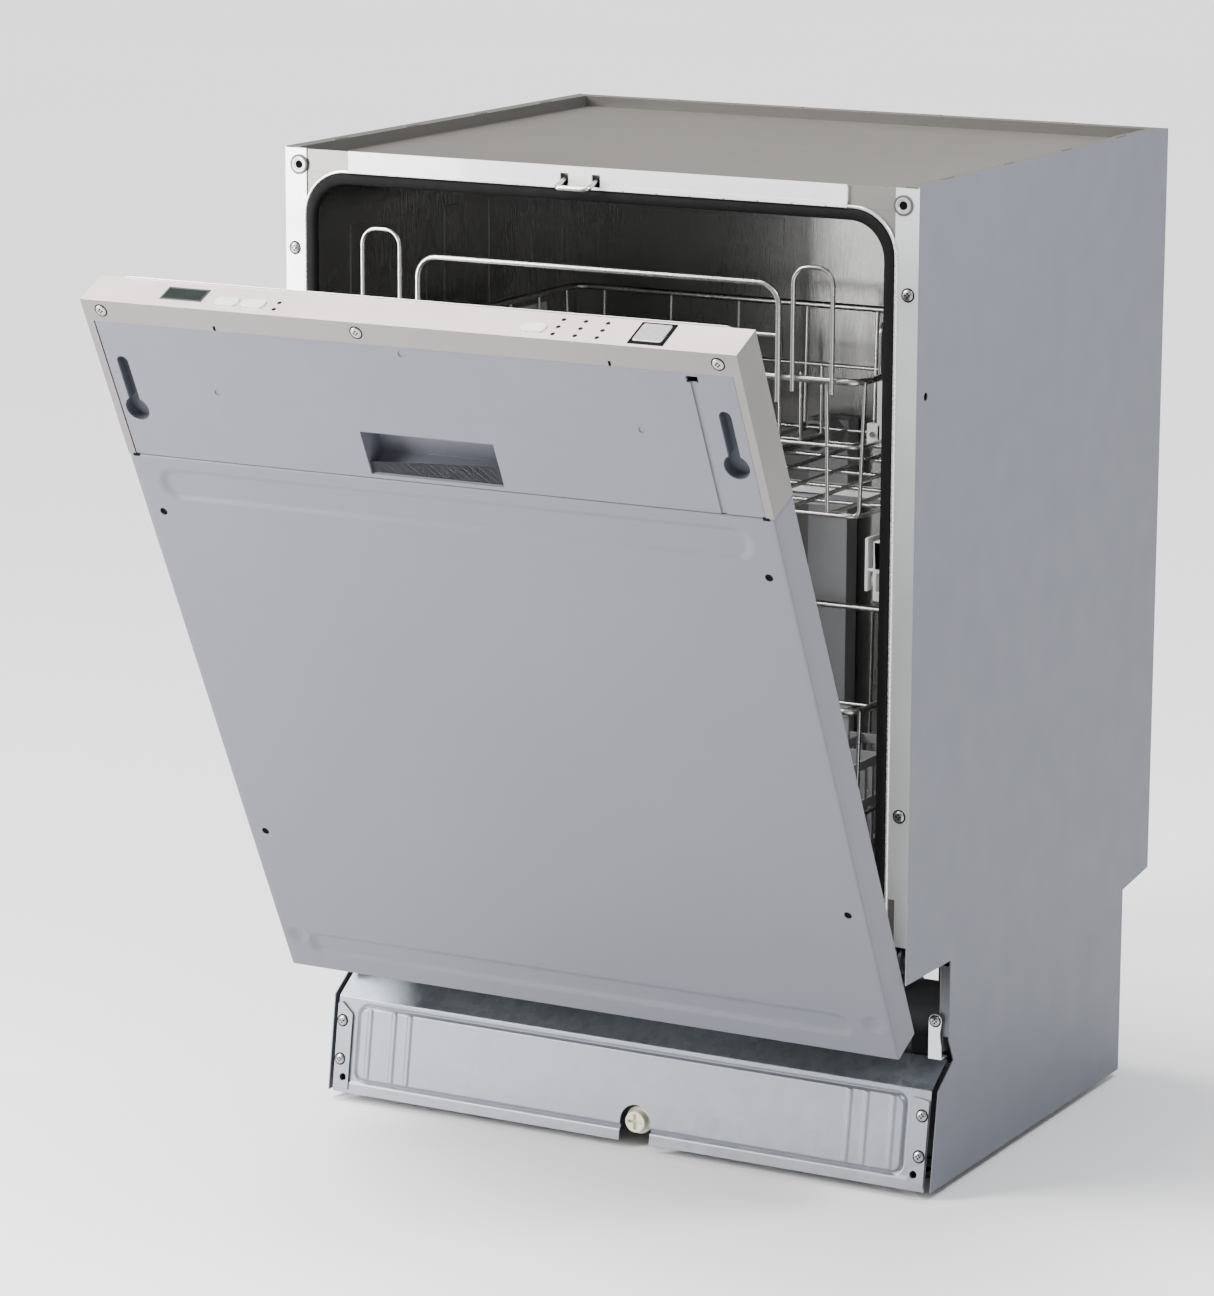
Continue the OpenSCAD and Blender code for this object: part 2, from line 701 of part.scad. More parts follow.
module fascia() {
    color(stainless) on_door() difference() {
        union() {
            box(-door_x, door_x, face_y, back_y, door_top - 1.4, door_top);
            box(-door_x, door_x, face_y, face_y + 1.4, door_top - lip_h, door_top - 1);
            for (s = [-1, 1]) {
                box(s > 0 ? door_x - 1.2 : -door_x, s > 0 ? door_x : -door_x + 1.2,
                    face_y, back_y, seam_z, door_top - 1);
                box(s > 0 ? door_x - 7 : -door_x, s > 0 ? door_x : -door_x + 7,
                    face_y, face_y + 1.2, seam_z, door_top - lip_h + 1);
            }
            box(-door_x + 1, door_x - 1, back_y - 1.2, back_y, door_top - 9, door_top - 1);
        }
        box(-226, -186, face_y + 9.6, face_y + 27.4, door_top - 3, door_top + 1);
        for (x = [-163, -138, 116])
            translate([x, face_y + 13, door_top - 3]) linear_extrude(5) rounded_rect(21.8, 11, 4);
        translate([217, face_y + 18, door_top - 3]) linear_extrude(5) rounded_rect(26, 24, 2.5);
        for (p = [[-116.7, 17.7], [-116.7, 8.4]])
            translate([p[0], face_y + p[1], door_top - 3]) cylinder(h = 5, r = 2, $fn = 24);
        for (x = [135.5, 154.8, 174], t = [7.5, 17.4, 27.3])
            translate([x, face_y + t, door_top - 3]) cylinder(h = 5, r = 2, $fn = 24);
        for (x = [-173, 184.5]) box(x - 1.2, x + 1.2, face_y - 1, face_y + 3, door_top - lip_h - 1, door_top - lip_h + 4.6);
        box(-30, 10, back_y - 3, back_y + 1, door_top - 20, door_top - 4);
    }
}

module door_liner() {
    low = 246;
    high = 828;
    color(stainless) on_door() difference() {
        union() {
            in_y(back_y + 0.05, back_y + 1.05) translate([0, (door_low + 7 + door_top + 1) / 2])
                rounded_rect(562, door_top + 1 - door_low - 7, 10);
            in_y(back_y + 0.95, 6) translate([0, (low + high) / 2]) rounded_rect(524, high - low, 34);
            in_y(5.9, 8) translate([0, (low + high) / 2]) ring_rect(508, high - low - 16, 28, 12);
        }
        in_y(back_y - 1, 5) translate([0, (low + high) / 2]) rounded_rect(522, high - low - 2, 33);
        box(-30, 10, back_y - 2, back_y + 2, door_top - 20, door_top - 4);
        box(-80.4, 80.4, back_y - 2, 10, 434.6, 555.4);
    }
}

module door_hinge_arms() {
    color(steel_dark) on_door() for (s = [-1, 1]) mirror([s < 0 ? 1 : 0, 0, 0]) difference() {
        union() {
            in_x(284, 287) union() {
                translate([hinge_y, hinge_z]) circle(r = 12, $fn = round_n);
                translate([-32, hinge_z - 10]) square([47, 20]);
                translate([-34, 170]) square([14, 300]);
            }
            tube_x(hinge_y, hinge_z, 283, 293.5, 5);
            box(284, 295, -34, -32, 240, 460);
        }
        tube_x(-27, 440, 280, 290, 3);
        tube_x(-27, 330, 280, 290, 3);
    }
}

module door_latch() {
    color(dark) on_door() difference() {
        box(-38, 18, -34, back_y - 1.5, door_top - 24, door_top - 2);
        box(-30, 10, -28, back_y, door_top - 20, door_top - 3.5);
    }
}

module door_screws() {
    color(stainless) on_door() for (x = [-279, -39, 279])
        translate([x, face_y, door_top - 9.6]) screw_head(5, 1.2);
}

module display_window() {
    color(black) on_door() difference() {
        box(-225.6, -186.4, face_y + 10, face_y + 27, door_top - 4, door_top + 0.3);
        box(-223, -189, face_y + 12.4, face_y + 24.6, door_top - 5, door_top - 2);
    }
}

module indicator_lights() {
    color([0.75, 0.78, 0.74]) on_door() union() {
        for (p = [[-116.7, 17.7], [-116.7, 8.4]])
            translate([p[0], face_y + p[1], door_top - 4]) cylinder(h = 4.3, r = 1.7, $fn = 24);
        for (x = [135.5, 154.8, 174], t = [7.5, 17.4, 27.3])
            translate([x, face_y + t, door_top - 4]) cylinder(h = 4.3, r = 1.7, $fn = 24);
    }
}

// Rounded push button that stands through the control panel
module push_button(x, w, d, r, t) {
    on_door() translate([x, face_y + t, 0]) union() {
        translate([0, 0, door_top - 5]) linear_extrude(6.6) rounded_rect(w, d, r);
        translate([0, 0, door_top - 9]) linear_extrude(4.2) rounded_rect(w * 0.6, d * 0.6, 1);
    }
}

module power_button() {
    color([0.80, 0.81, 0.82]) push_button(217, 25, 23, 2.1, 18);
}

module program_button() {
    color(button_white) push_button(116, 21, 10.2, 3.6, 13);
}

module option_button_a() {
    color(button_white) push_button(-163, 21, 10.2, 3.6, 13);
}

module option_button_b() {
    color(button_white) push_button(-138, 21, 10.2, 3.6, 13);
}

module dispenser_body() {
    color(plastic_grey) on_door() difference() {
        union() {
            box(-80, 80, -20, 6, 435, 555);
            box(-88, 88, 6.1, 12, 427, 563);
            box(-80, 80, 5, 9, 435, 555);
            for (z = [[436, 441], [549, 554]]) box(-80, -72, 11, 18.6, z[0], z[1]);
        }
        box(-66, 8, -17, 13, 449, 541);
        tube_y(46, 500, -14, 13, 17);
        translate([-76, 15.2, 430]) cylinder(h = 130, r = 2.06, $fn = round_n);
        for (z = [462, 530]) tube_y(46, z, 8, 13, 4);
    }
}

module dispenser_lid() {
    color(plastic_grey) on_door() union() {
        box(-71, 13, 12.4, 15.6, 444, 546);
        box(-76, -70, 13.6, 16.6, 444, 546);
        translate([-76, 15.2, 437]) cylinder(h = 116, r = 2, $fn = round_n);
        box(6, 12, 15, 18, 480, 510);
    }
}

module rinse_cap() {
    color(dark) on_door() union() {
        tube_y(46, 500, -8, 12.4, 16);
        tube_y(46, 500, 12.3, 15, 21);
        translate([46, 17, 500]) cube([34, 5, 6], center = true);
    }
}

// Flat mat of floor wires inside a rectangle of wire
module floor_mat(x, y0, y1, z) {
    wire([-x, y0, z], [x, y0, z], wire_d);
    wire([-x, y1, z], [x, y1, z], wire_d);
    for (s = [-1, 1]) wire([s * x, y0 - wire_d / 2, z], [s * x, y1 + wire_d / 2, z], wire_d);
    for (x = [-210 : 42 : 210]) wire([x, y0, z], [x, y1, z], wire_d);
    for (i = [1 : 5]) wire([-x, y0 - 4 + i * 66, z - 1.5], [x, y0 - 4 + i * 66, z - 1.5], wire_d);
}

// Leaning mat of wires that stands on the floor mat's front or back wire
module end_mat(y_low, y_high, z_low, z_mid, z_top) {
    foot = z_low + wire_d / 2 + mat_gap;
    y_mid = (y_low + y_high) / 2;
    for (x = [-210 : 70 : 210]) wire([x, y_low, foot], [x, y_high, z_top], wire_d);
    mid_x = basket_x - 2 - wire_d / 2 - mat_gap;
    wire([-mid_x, y_mid, z_mid], [mid_x, y_mid, z_mid], wire_d);
    rim_x = basket_x - rim_d / 2 - mat_gap;
    wire([-rim_x, y_high, z_top], [rim_x, y_high, z_top], rim_d);
}

// Leaning mat of wires that stands on the floor mat's right hand wire
module side_mat(y0, y1, z_low, z_mid, z_top) {
    foot = z_low + wire_d / 2 + mat_gap;
    for (i = [0 : 7]) wire([basket_x - 4, y0 + 8 + i * 52, foot], [basket_x, y0 + 8 + i * 52, z_top], wire_d);
    wire([basket_x - 2, y0 + 0.2, z_mid], [basket_x - 2, y1 - 0.2, z_mid], wire_d);
    wire([basket_x, y0 - rim_d / 2, z_top], [basket_x, y1 + rim_d / 2, z_top], rim_d);
}

// Comb of upright tines on a wire that lies along the floor mat
module tine_comb(x, y_first, pitch, last, z_low, z_top) {
    foot = z_low + wire_d + mat_gap;
    wire([x, y_first - 8, foot], [x, y_first + last * pitch + 8, foot], wire_d);
    for (i = [0 : last]) wire([x, y_first + i * pitch, foot], [x, y_first + i * pitch, z_top], wire_d);
}

module upper_basket() {
    top = 700;
    mid = 646;
    y0 = upper_y + 3;
    y1 = upper_y + basket_d;
    color(wire_grey) union() {
        floor_mat(basket_x - 4, y0 + 4, y1 - 4, upper_z);
        end_mat(y0 + 4, y0, upper_z, mid, top);
        end_mat(y1 - 4, y1, upper_z, mid, top);
        side_mat(y0, y1, upper_z, mid, top);
        mirror([1, 0, 0]) side_mat(y0, y1, upper_z, mid, top);
        for (x = [-84, 42]) tine_comb(x, y0 + 40, 42, 7, upper_z, 655);
        for (y = [y0 + 52, y0 + 342]) difference() {
            box(223, 241, y - 3, y + 3, 640, 700);
            tube_y(229, 650, y - 5, y + 5, 2.56);
        }
    }
}

// Bent wire loop that stands up from the basket's front rim
module front_loop(x0, x1, z0, z1, r, d, y) {
    wire([x0, y, z0], [x0, y, z1 - r], d);
    wire([x1, y, z0], [x1, y, z1 - r], d);
    wire([x0 + r, y, z1], [x1 - r, y, z1], d);
    translate([x0 + r, y, z1 - r]) rotate([90, 0, 0]) rotate([0, 0, 90])
        rotate_extrude(angle = 90, $fn = round_n) translate([r, 0]) circle(d = d, $fn = 16);
    translate([x1 - r, y, z1 - r]) rotate([90, 0, 0])
        rotate_extrude(angle = 90, $fn = round_n) translate([r, 0]) circle(d = d, $fn = 16);
}

module upper_handle() {
    loop_y = upper_y - 2.6;
    color(wire_grey) union() {
        front_loop(-175, 168, 680, 778, 16, 5, loop_y);
        front_loop(-230, -193, 690, 798, 12, 4, loop_y);
        front_loop(181, 217, 690, 793, 12, 4, loop_y);
        wire([-175, loop_y, 735], [168, loop_y, 735], wire_d);
    }
}

module upper_slides() {
    y0 = upper_y + 6;
    y1 = upper_y + 376;
    web_x = 248 + mat_gap;
    hub_back = upper_y + 193;
    color(white) union() {
        for (s = [-1, 1]) mirror([s < 0 ? 1 : 0, 0, 0]) union() {
            box(245.4, 248, y0, y1, 528, 572);
            for (y = [upper_y + 50, y1 - 80]) box(245.4, 248, y, y + 50, 570, 690);
            box(web_x, 256, y0, y1 - 30, 545, 547);
            tube_x(y1 - 14, 536.4, web_x, 266.5, 2.5);
        }
        box(mat_gap - 245.4, 245.4 - mat_gap, hub_back - 3, hub_back + 3, 568, 577);
        tube_y(0, 575, hub_back + 3, upper_y + 402, 8.5);
        translate([0, hub_back, 566]) cylinder(h = 17, r = 14, $fn = round_n);
        translate([0, hub_back, 548]) cylinder(h = 20, r = 6, $fn = round_n);
        translate([0, hub_back, 546]) cylinder(h = 3, r = 11, $fn = round_n);
    }
}

module upper_wheel(s) {
    color(white) difference() {
        tube_x(upper_y + 362, 536.4, s > 0 ? 258 : -266, s > 0 ? 266 : -258, 8);
        tube_x(upper_y + 362, 536.4, -300, 300, 2.56);
    }
}

module upper_wheel_left() {
    upper_wheel(-1);
}

module upper_wheel_right() {
    upper_wheel(1);
}

module upper_spray_arm() {
    color(plastic_grey) translate([0, upper_y + 193, 565.4]) rotate([180, 0, 12]) spray_arm(186, 6.08);
}

module cup_shelf() {
    y0 = upper_y + 50;
    y1 = upper_y + 350;
    color(wire_grey) union() {
        tube_y(229, 650, y0, y1, 2.5);
        wire([229, y0 + 12, 740], [229, y1 - 12, 740], wire_d);
        for (i = [0 : 6]) wire([229, y0 + 14 + i * 45, 650], [229, y0 + 14 + i * 45, 741], wire_d);
        wire([229, y0 + 14, 700], [229, y1 - 14, 700], wire_d);
    }
}

module lower_basket() {
    top = 425;
    mid = 335;
    y0 = lower_y + 3;
    y1 = lower_y + basket_d;
    floor_top = lower_z + wire_d / 2 + mat_gap;
    color(wire_grey) union() {
        floor_mat(basket_x - 4, y0 + 4, y1 - 4, lower_z);
        end_mat(y0 + 4, y0, lower_z, mid, top);
        end_mat(y1 - 4, y1, lower_z, mid, top);
        tine_comb(-168, y0 + 30, 40, 8, lower_z, 330);
        for (y = [y0 + 22, y0 + 356]) difference() {
            box(-86, -60, y - 3, y + 3, floor_top, 262);
            tube_y(-66, 256, y - 5, y + 5, 2.56);
        }
        for (s = [-1, 1]) mirror([s < 0 ? 1 : 0, 0, 0]) union() {
            side_mat(y0, y1, lower_z, mid, top);
            for (y = [y0 + 58, y0 + 330]) {
                box(240.2, 245, y - 14, y + 14, 217, 254);
                box(basket_x - 5, 245, y - 14, y + 14, floor_top + 1, 254);
                tube_x(y, 224.9, 231.6, 241, 3);
            }
        }
    }
}

// Pair of wheels that share one axis line under the lower basket
module lower_wheels(y) {
    color(white) for (s = [-1, 1]) mirror([s < 0 ? 1 : 0, 0, 0]) difference() {
        tube_x(y, 224.9, 232, 239.6, 16);
        tube_x(y, 224.9, 230, 242, 3.06);
    }
}

module lower_wheels_front() {
    lower_wheels(lower_y + 61);
}

module lower_wheels_rear() {
    lower_wheels(lower_y + 333);
}

module folding_tines() {
    y0 = lower_y + 20;
    color(wire_grey) union() {
        tube_y(-66, 256, y0, y0 + 346, 2.5);
        for (i = [0 : 7]) wire([-66, y0 + 28 + i * 41, 256], [-66, y0 + 28 + i * 41, 342], wire_d);
    }
}

module cutlery_basket() {
    y0 = lower_y + 30;
    color(plastic_grey) union() {
        difference() {
            box(88, 224, y0, y0 + 118, 252, 372);
            for (i = [0 : 2], j = [0, 1])
                box(90 + i * 44.7, 90 + i * 44.7 + 42.7, y0 + 2 + j * 58, y0 + 58 + j * 58, 254.4, 380);
        }
        box(152, 160, y0 + 57.5, y0 + 60.5, 370, 404);
        box(120, 192, y0 + 55, y0 + 63, 400, 408);
        box(118, 126, y0 + 57.5, y0 + 60.5, 370, 404);
        box(186, 194, y0 + 57.5, y0 + 60.5, 370, 404);
    }
}

side_panel_left();
side_panel_right();
top_panel();
back_panel();
tub();
door_seal();
top_trim();
striker();
frame_fasteners();
cabinet_screws();
plinth_panel();
plinth_brackets();
hinge_brackets();
balance_springs();
base_tray();
sump();
filter_plate();
filter_cup();
wash_pump();
drain_pump();
inlet_valve();
drain_spigot();
feed_pipe();
lower_spray_arm();
rack_rails();
rail_stops();
rail_roller_left();
rail_roller_right();
front_foot_left();
front_foot_right();
rear_foot();
rear_foot_adjuster();
door_panel();
door_cover();
fascia();
door_liner();
door_hinge_arms();
door_latch();
door_screws();
display_window();
indicator_lights();
power_button();
program_button();
option_button_a();
option_button_b();
dispenser_body();
dispenser_lid();
rinse_cap();
upper_basket();
upper_handle();
upper_slides();
upper_wheel_left();
upper_wheel_right();
upper_spray_arm();
cup_shelf();
lower_basket();
lower_wheels_front();
lower_wheels_rear();
folding_tines();
cutlery_basket();
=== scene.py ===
# Visual model of a built in dishwasher without its furniture front.
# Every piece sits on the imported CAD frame: X right, Y towards the back, Z up, in metres.
import json
import math

import bmesh
import bpy
from mathutils import Matrix, Vector


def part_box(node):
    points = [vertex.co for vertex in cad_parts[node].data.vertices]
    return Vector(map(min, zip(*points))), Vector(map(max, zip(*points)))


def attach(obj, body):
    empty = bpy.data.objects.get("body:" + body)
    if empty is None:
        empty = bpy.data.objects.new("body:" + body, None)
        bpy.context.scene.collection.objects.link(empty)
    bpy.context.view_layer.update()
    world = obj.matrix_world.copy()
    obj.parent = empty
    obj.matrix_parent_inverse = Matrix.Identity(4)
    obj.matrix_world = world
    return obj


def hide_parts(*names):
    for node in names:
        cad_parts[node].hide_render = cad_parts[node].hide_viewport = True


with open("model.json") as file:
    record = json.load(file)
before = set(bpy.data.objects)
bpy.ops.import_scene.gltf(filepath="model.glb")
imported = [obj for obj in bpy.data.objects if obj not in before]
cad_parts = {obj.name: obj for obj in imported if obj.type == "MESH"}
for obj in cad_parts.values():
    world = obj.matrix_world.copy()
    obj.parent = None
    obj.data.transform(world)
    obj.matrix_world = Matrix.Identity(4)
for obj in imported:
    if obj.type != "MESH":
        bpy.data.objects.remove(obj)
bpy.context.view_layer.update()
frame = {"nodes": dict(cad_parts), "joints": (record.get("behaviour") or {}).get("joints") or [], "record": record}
JOINTS = {joint["name"]: joint for joint in frame["joints"]}
BODIES = frame["record"]["behaviour"]["bodies"]
BODY_OF = {node: body for body, nodes in BODIES.items() for node in nodes}

# ---------------------------------------------------------------- camera and light
CAMERA_TURN = math.radians(28.66)
CAMERA_RISE = math.radians(12.23)
CAMERA_ROLL = math.radians(0.22)
CAMERA_DISTANCE = 4.314
CAMERA_TARGET = Vector((-0.093, 0.200, 0.410))
CAMERA_LENS = 134.6


def make_camera():
    data = bpy.data.cameras.new("camera")
    data.lens = CAMERA_LENS
    data.sensor_width = 36.0
    data.clip_end = 60.0
    camera = bpy.data.objects.new("camera", data)
    bpy.context.collection.objects.link(camera)
    back = Vector((
        math.sin(CAMERA_TURN) * math.cos(CAMERA_RISE),
        -math.cos(CAMERA_TURN) * math.cos(CAMERA_RISE),
        math.sin(CAMERA_RISE),
    ))
    camera.location = CAMERA_TARGET + back * CAMERA_DISTANCE
    turn = back.to_track_quat("Z", "Y").to_matrix().to_4x4()
    camera.matrix_world = Matrix.Translation(camera.location) @ turn @ Matrix.Rotation(CAMERA_ROLL, 4, "Z")
    bpy.context.scene.camera = camera


def area_light(name, place, aim, size, power, colour=(1.0, 1.0, 1.0)):
    data = bpy.data.lights.new(name, "AREA")
    data.shape = "RECTANGLE"
    data.size, data.size_y = size
    data.energy = power
    data.color = colour
    light = bpy.data.objects.new(name, data)
    bpy.context.collection.objects.link(light)
    place = Vector(place)
    turn = (place - Vector(aim)).to_track_quat("Z", "Y").to_matrix().to_4x4()
    light.matrix_world = Matrix.Translation(place) @ turn


def sky_light(name, direction, power, spread_angle):
    """A wide soft light from far away, whose direction points up to it."""
    data = bpy.data.lights.new(name, "SUN")
    data.energy = power
    data.angle = math.radians(spread_angle)
    light = bpy.data.objects.new(name, data)
    bpy.context.collection.objects.link(light)
    light.matrix_world = Vector(direction).to_track_quat("Z", "Y").to_matrix().to_4x4()


def make_studio():
    world = bpy.data.worlds.new("studio")
    bpy.context.scene.world = world
    world.use_nodes = True
    back = world.node_tree.nodes["Background"]
    back.inputs["Color"].default_value = (0.95, 0.965, 1.0, 1.0)
    back.inputs["Strength"].default_value = 0.70
    sky_light("overhead", (-0.42, -0.06, 1.0), 4.6, 36.0)
    area_light("key", (-2.0, -2.1, 2.1), (-0.2, -0.1, 0.6), (1.0, 1.2), 120.0, (1.0, 0.985, 0.96))
    area_light("side_fill", (1.05, -0.05, 1.60), (0.3, 0.25, 0.95), (0.6, 0.4), 20.0, (0.95, 0.97, 1.0))
    area_light("low_front", (-1.25, -1.25, 0.60), (-0.25, -0.2, 0.60), (0.7, 0.5), 34.0)
    bpy.ops.mesh.primitive_plane_add(size=40.0, location=(0.0, 0.0, 0.0))
    floor = bpy.context.object
    floor.name = "studio_floor"
    floor.data.materials.append(plain_floor())


# ---------------------------------------------------------------- materials
class Graph:
    """Small helper that wires shader nodes together."""

    def __init__(self, name):
        self.material = bpy.data.materials.new(name)
        self.material.use_nodes = True
        self.tree = self.material.node_tree
        self.shader = self.tree.nodes["Principled BSDF"]
        coordinates = self.tree.nodes.new("ShaderNodeTexCoord")
        self.place = coordinates.outputs["Object"]

    def node(self, kind, **values):
        made = self.tree.nodes.new(kind)
        for key, value in values.items():
            setattr(made, key, value)
        return made

    def link(self, source, target):
        self.tree.links.new(source, target)

    def mapped(self, scale, turn=(0.0, 0.0, 0.0)):
        made = self.node("ShaderNodeMapping")
        made.inputs["Scale"].default_value = scale
        made.inputs["Rotation"].default_value = turn
        self.link(self.place, made.inputs["Vector"])
        return made.outputs["Vector"]

    def noise(self, scale, detail=4.0, stretch=(1.0, 1.0, 1.0), turn=(0.0, 0.0, 0.0), rough=0.5):
        made = self.node("ShaderNodeTexNoise")
        made.inputs["Scale"].default_value = scale
        made.inputs["Detail"].default_value = detail
        made.inputs["Roughness"].default_value = rough
        self.link(self.mapped(stretch, turn), made.inputs["Vector"])
        return made.outputs["Fac"]

    def cells(self, scale, output="Color", feature="F1"):
        made = self.node("ShaderNodeTexVoronoi", feature=feature)
        made.inputs["Scale"].default_value = scale
        self.link(self.place, made.inputs["Vector"])
        return made.outputs[output]

    def ramp(self, source, stops):
        made = self.node("ShaderNodeValToRGB")
        ramp = made.color_ramp
        while len(ramp.elements) < len(stops):
            ramp.elements.new(0.5)
        for element, (place, colour) in zip(ramp.elements, stops):
            element.position = place
            element.color = (*colour, 1.0) if len(colour) == 3 else colour
        self.link(source, made.inputs["Fac"])
        return made.outputs["Color"]

    def remap(self, source, low, high, start=0.0, end=1.0):
        made = self.node("ShaderNodeMapRange")
        made.inputs["From Min"].default_value = start
        made.inputs["From Max"].default_value = end
        made.inputs["To Min"].default_value = low
        made.inputs["To Max"].default_value = high
        self.link(source, made.inputs["Value"])
        return made.outputs["Result"]

    def math(self, kind, first, second):
        made = self.node("ShaderNodeMath", operation=kind)
        for socket, value in zip(made.inputs, (first, second)):
            if isinstance(value, (int, float)):
                socket.default_value = value
            else:
                self.link(value, socket)
        return made.outputs["Value"]

    def set(self, **values):
        for key, value in values.items():
            socket = self.shader.inputs[key.replace("_", " ")]
            if isinstance(value, tuple):
                socket.default_value = (*value, 1.0)
            elif isinstance(value, (int, float)):
                socket.default_value = value
            else:
                self.link(value, socket)

    def bump(self, height, strength, distance):
        made = self.node("ShaderNodeBump")
        made.inputs["Strength"].default_value = strength
        made.inputs["Distance"].default_value = distance
        self.link(height, made.inputs["Height"])
        self.link(made.outputs["Normal"], self.shader.inputs["Normal"])


def shade(colour, factor):
    return tuple(min(1.0, channel * factor) for channel in colour)


def plain_floor():
    g = Graph("studio_floor")
    wide = g.noise(0.6, 2.0)
    g.set(Base_Color=g.ramp(wide, [(0.3, (0.93, 0.93, 0.93)), (0.7, (0.95, 0.95, 0.95))]), Roughness=0.75)
    return g.material


def coated_steel(name, colour, rough=0.42, patch=0.05, metal=0.0, peel=0.00006):
    """Paint or lacquer on pressed sheet: orange peel, faint clouds and handling marks."""
    g = Graph(name)
    cloud = g.noise(3.2, 5.0)
    fine = g.noise(900.0, 2.0)
    rub = g.noise(30.0, 5.0, (1.0, 1.0, 0.8))
    tone = g.math("ADD", g.math("MULTIPLY", cloud, 0.7), g.math("MULTIPLY", rub, 0.3))
    g.set(
        Base_Color=g.ramp(tone, [(0.3, shade(colour, 1.0 - patch)), (0.7, shade(colour, 1.0 + patch))]),
        Roughness=g.remap(rub, rough - 0.03, rough + 0.04, 0.3, 0.7),
        Metallic=metal,
    )
    g.bump(fine, 0.35, peel)
    return g.material


def brushed_metal(name, colour, rough=0.30, along=(1.0, 90.0, 90.0), depth=0.00005, patch=0.05, metal=1.0):
    """Steel with a fine brush grain; along is low on the axis the grain runs along."""
    g = Graph(name)
    grain = g.noise(26.0, 6.0, along, rough=0.7)
    broad = g.noise(5.0, 4.0, tuple(1.0 if value < 2 else 3.0 for value in along))
    smudge = g.noise(9.0, 5.0)
    tone = g.math("ADD", g.math("MULTIPLY", grain, 0.55), g.math("MULTIPLY", broad, 0.45))
    g.set(
        Base_Color=g.ramp(tone, [(0.3, shade(colour, 1.0 - patch)), (0.7, shade(colour, 1.0 + patch))]),
        Roughness=g.remap(g.math("ADD", g.math("MULTIPLY", grain, 0.5), g.math("MULTIPLY", smudge, 0.5)),
                          rough - 0.09, rough + 0.11, 0.3, 0.7),
        Metallic=metal,
    )
    g.bump(grain, 0.30, depth)
    return g.material


def galvanised(name, colour, rough=0.40, size=70.0, contrast=0.16, streak=0.0):
    """Zinc coated sheet with crystal spangle and faint roll marks."""
    g = Graph(name)
    spangle = g.cells(size)
    small = g.cells(size * 2.3)
    flat = g.node("ShaderNodeRGBToBW")
    g.link(spangle, flat.inputs["Color"])
    flat_small = g.node("ShaderNodeRGBToBW")
    g.link(small, flat_small.inputs["Color"])
    roll = g.noise(6.0, 5.0, (0.5, 6.0, 6.0))
    cloud = g.noise(4.0, 3.0)
    mixed = g.math(
        "ADD", g.math("MULTIPLY", flat.outputs["Val"], 0.34),
        g.math("MULTIPLY", flat_small.outputs["Val"], 0.16)
    )
    mixed = g.math("ADD", mixed, g.math("MULTIPLY", roll, 0.25 + streak))
    mixed = g.math("ADD", mixed, g.math("MULTIPLY", cloud, 0.25))
    g.set(
        Base_Color=g.ramp(
            mixed, [(0.25, shade(colour, 1.0 - contrast)), (0.75, shade(colour, 1.0 + contrast))]
        ),
        Roughness=g.remap(mixed, rough - 0.10, rough + 0.12, 0.2, 0.8),
        Metallic=0.85,
    )
    g.bump(g.noise(420.0, 3.0), 0.25, 0.00005)
    return g.material


def moulded(name, colour, rough=0.45, grain=1500.0, depth=0.00005, patch=0.03, coat=0.0, gloss=0.5):
    """Injection moulded plastic: fine spark grain, soft flow clouds, light rub marks."""
    g = Graph(name)
    flow = g.noise(7.0, 3.0, (1.0, 0.6, 1.4))
    texture = g.noise(grain, 2.0)
    rub = g.noise(60.0, 5.0)
    g.set(
        Base_Color=g.ramp(flow, [(0.3, shade(colour, 1.0 - patch)), (0.7, shade(colour, 1.0 + patch))]),
        Roughness=g.remap(rub, rough - 0.05, rough + 0.07, 0.3, 0.7),
        Metallic=0.0,
    )
    g.shader.inputs["Coat Weight"].default_value = coat
    g.shader.inputs["Specular IOR Level"].default_value = gloss
    g.bump(texture, 0.35, depth)
    return g.material


def dark_glass(name, colour):
    """Smoked display cover with faint wipe marks."""
    g = Graph(name)
    wipe = g.noise(80.0, 4.0, (1.0, 4.0, 1.0))
    g.set(
        Base_Color=g.ramp(wipe, [(0.35, shade(colour, 0.85)), (0.65, shade(colour, 1.2))]),
        Roughness=g.remap(wipe, 0.40, 0.52, 0.3, 0.7),
    )
    g.shader.inputs["Specular IOR Level"].default_value = 0.06
    g.bump(g.noise(300.0, 2.0), 0.1, 0.00002)
    return g.material


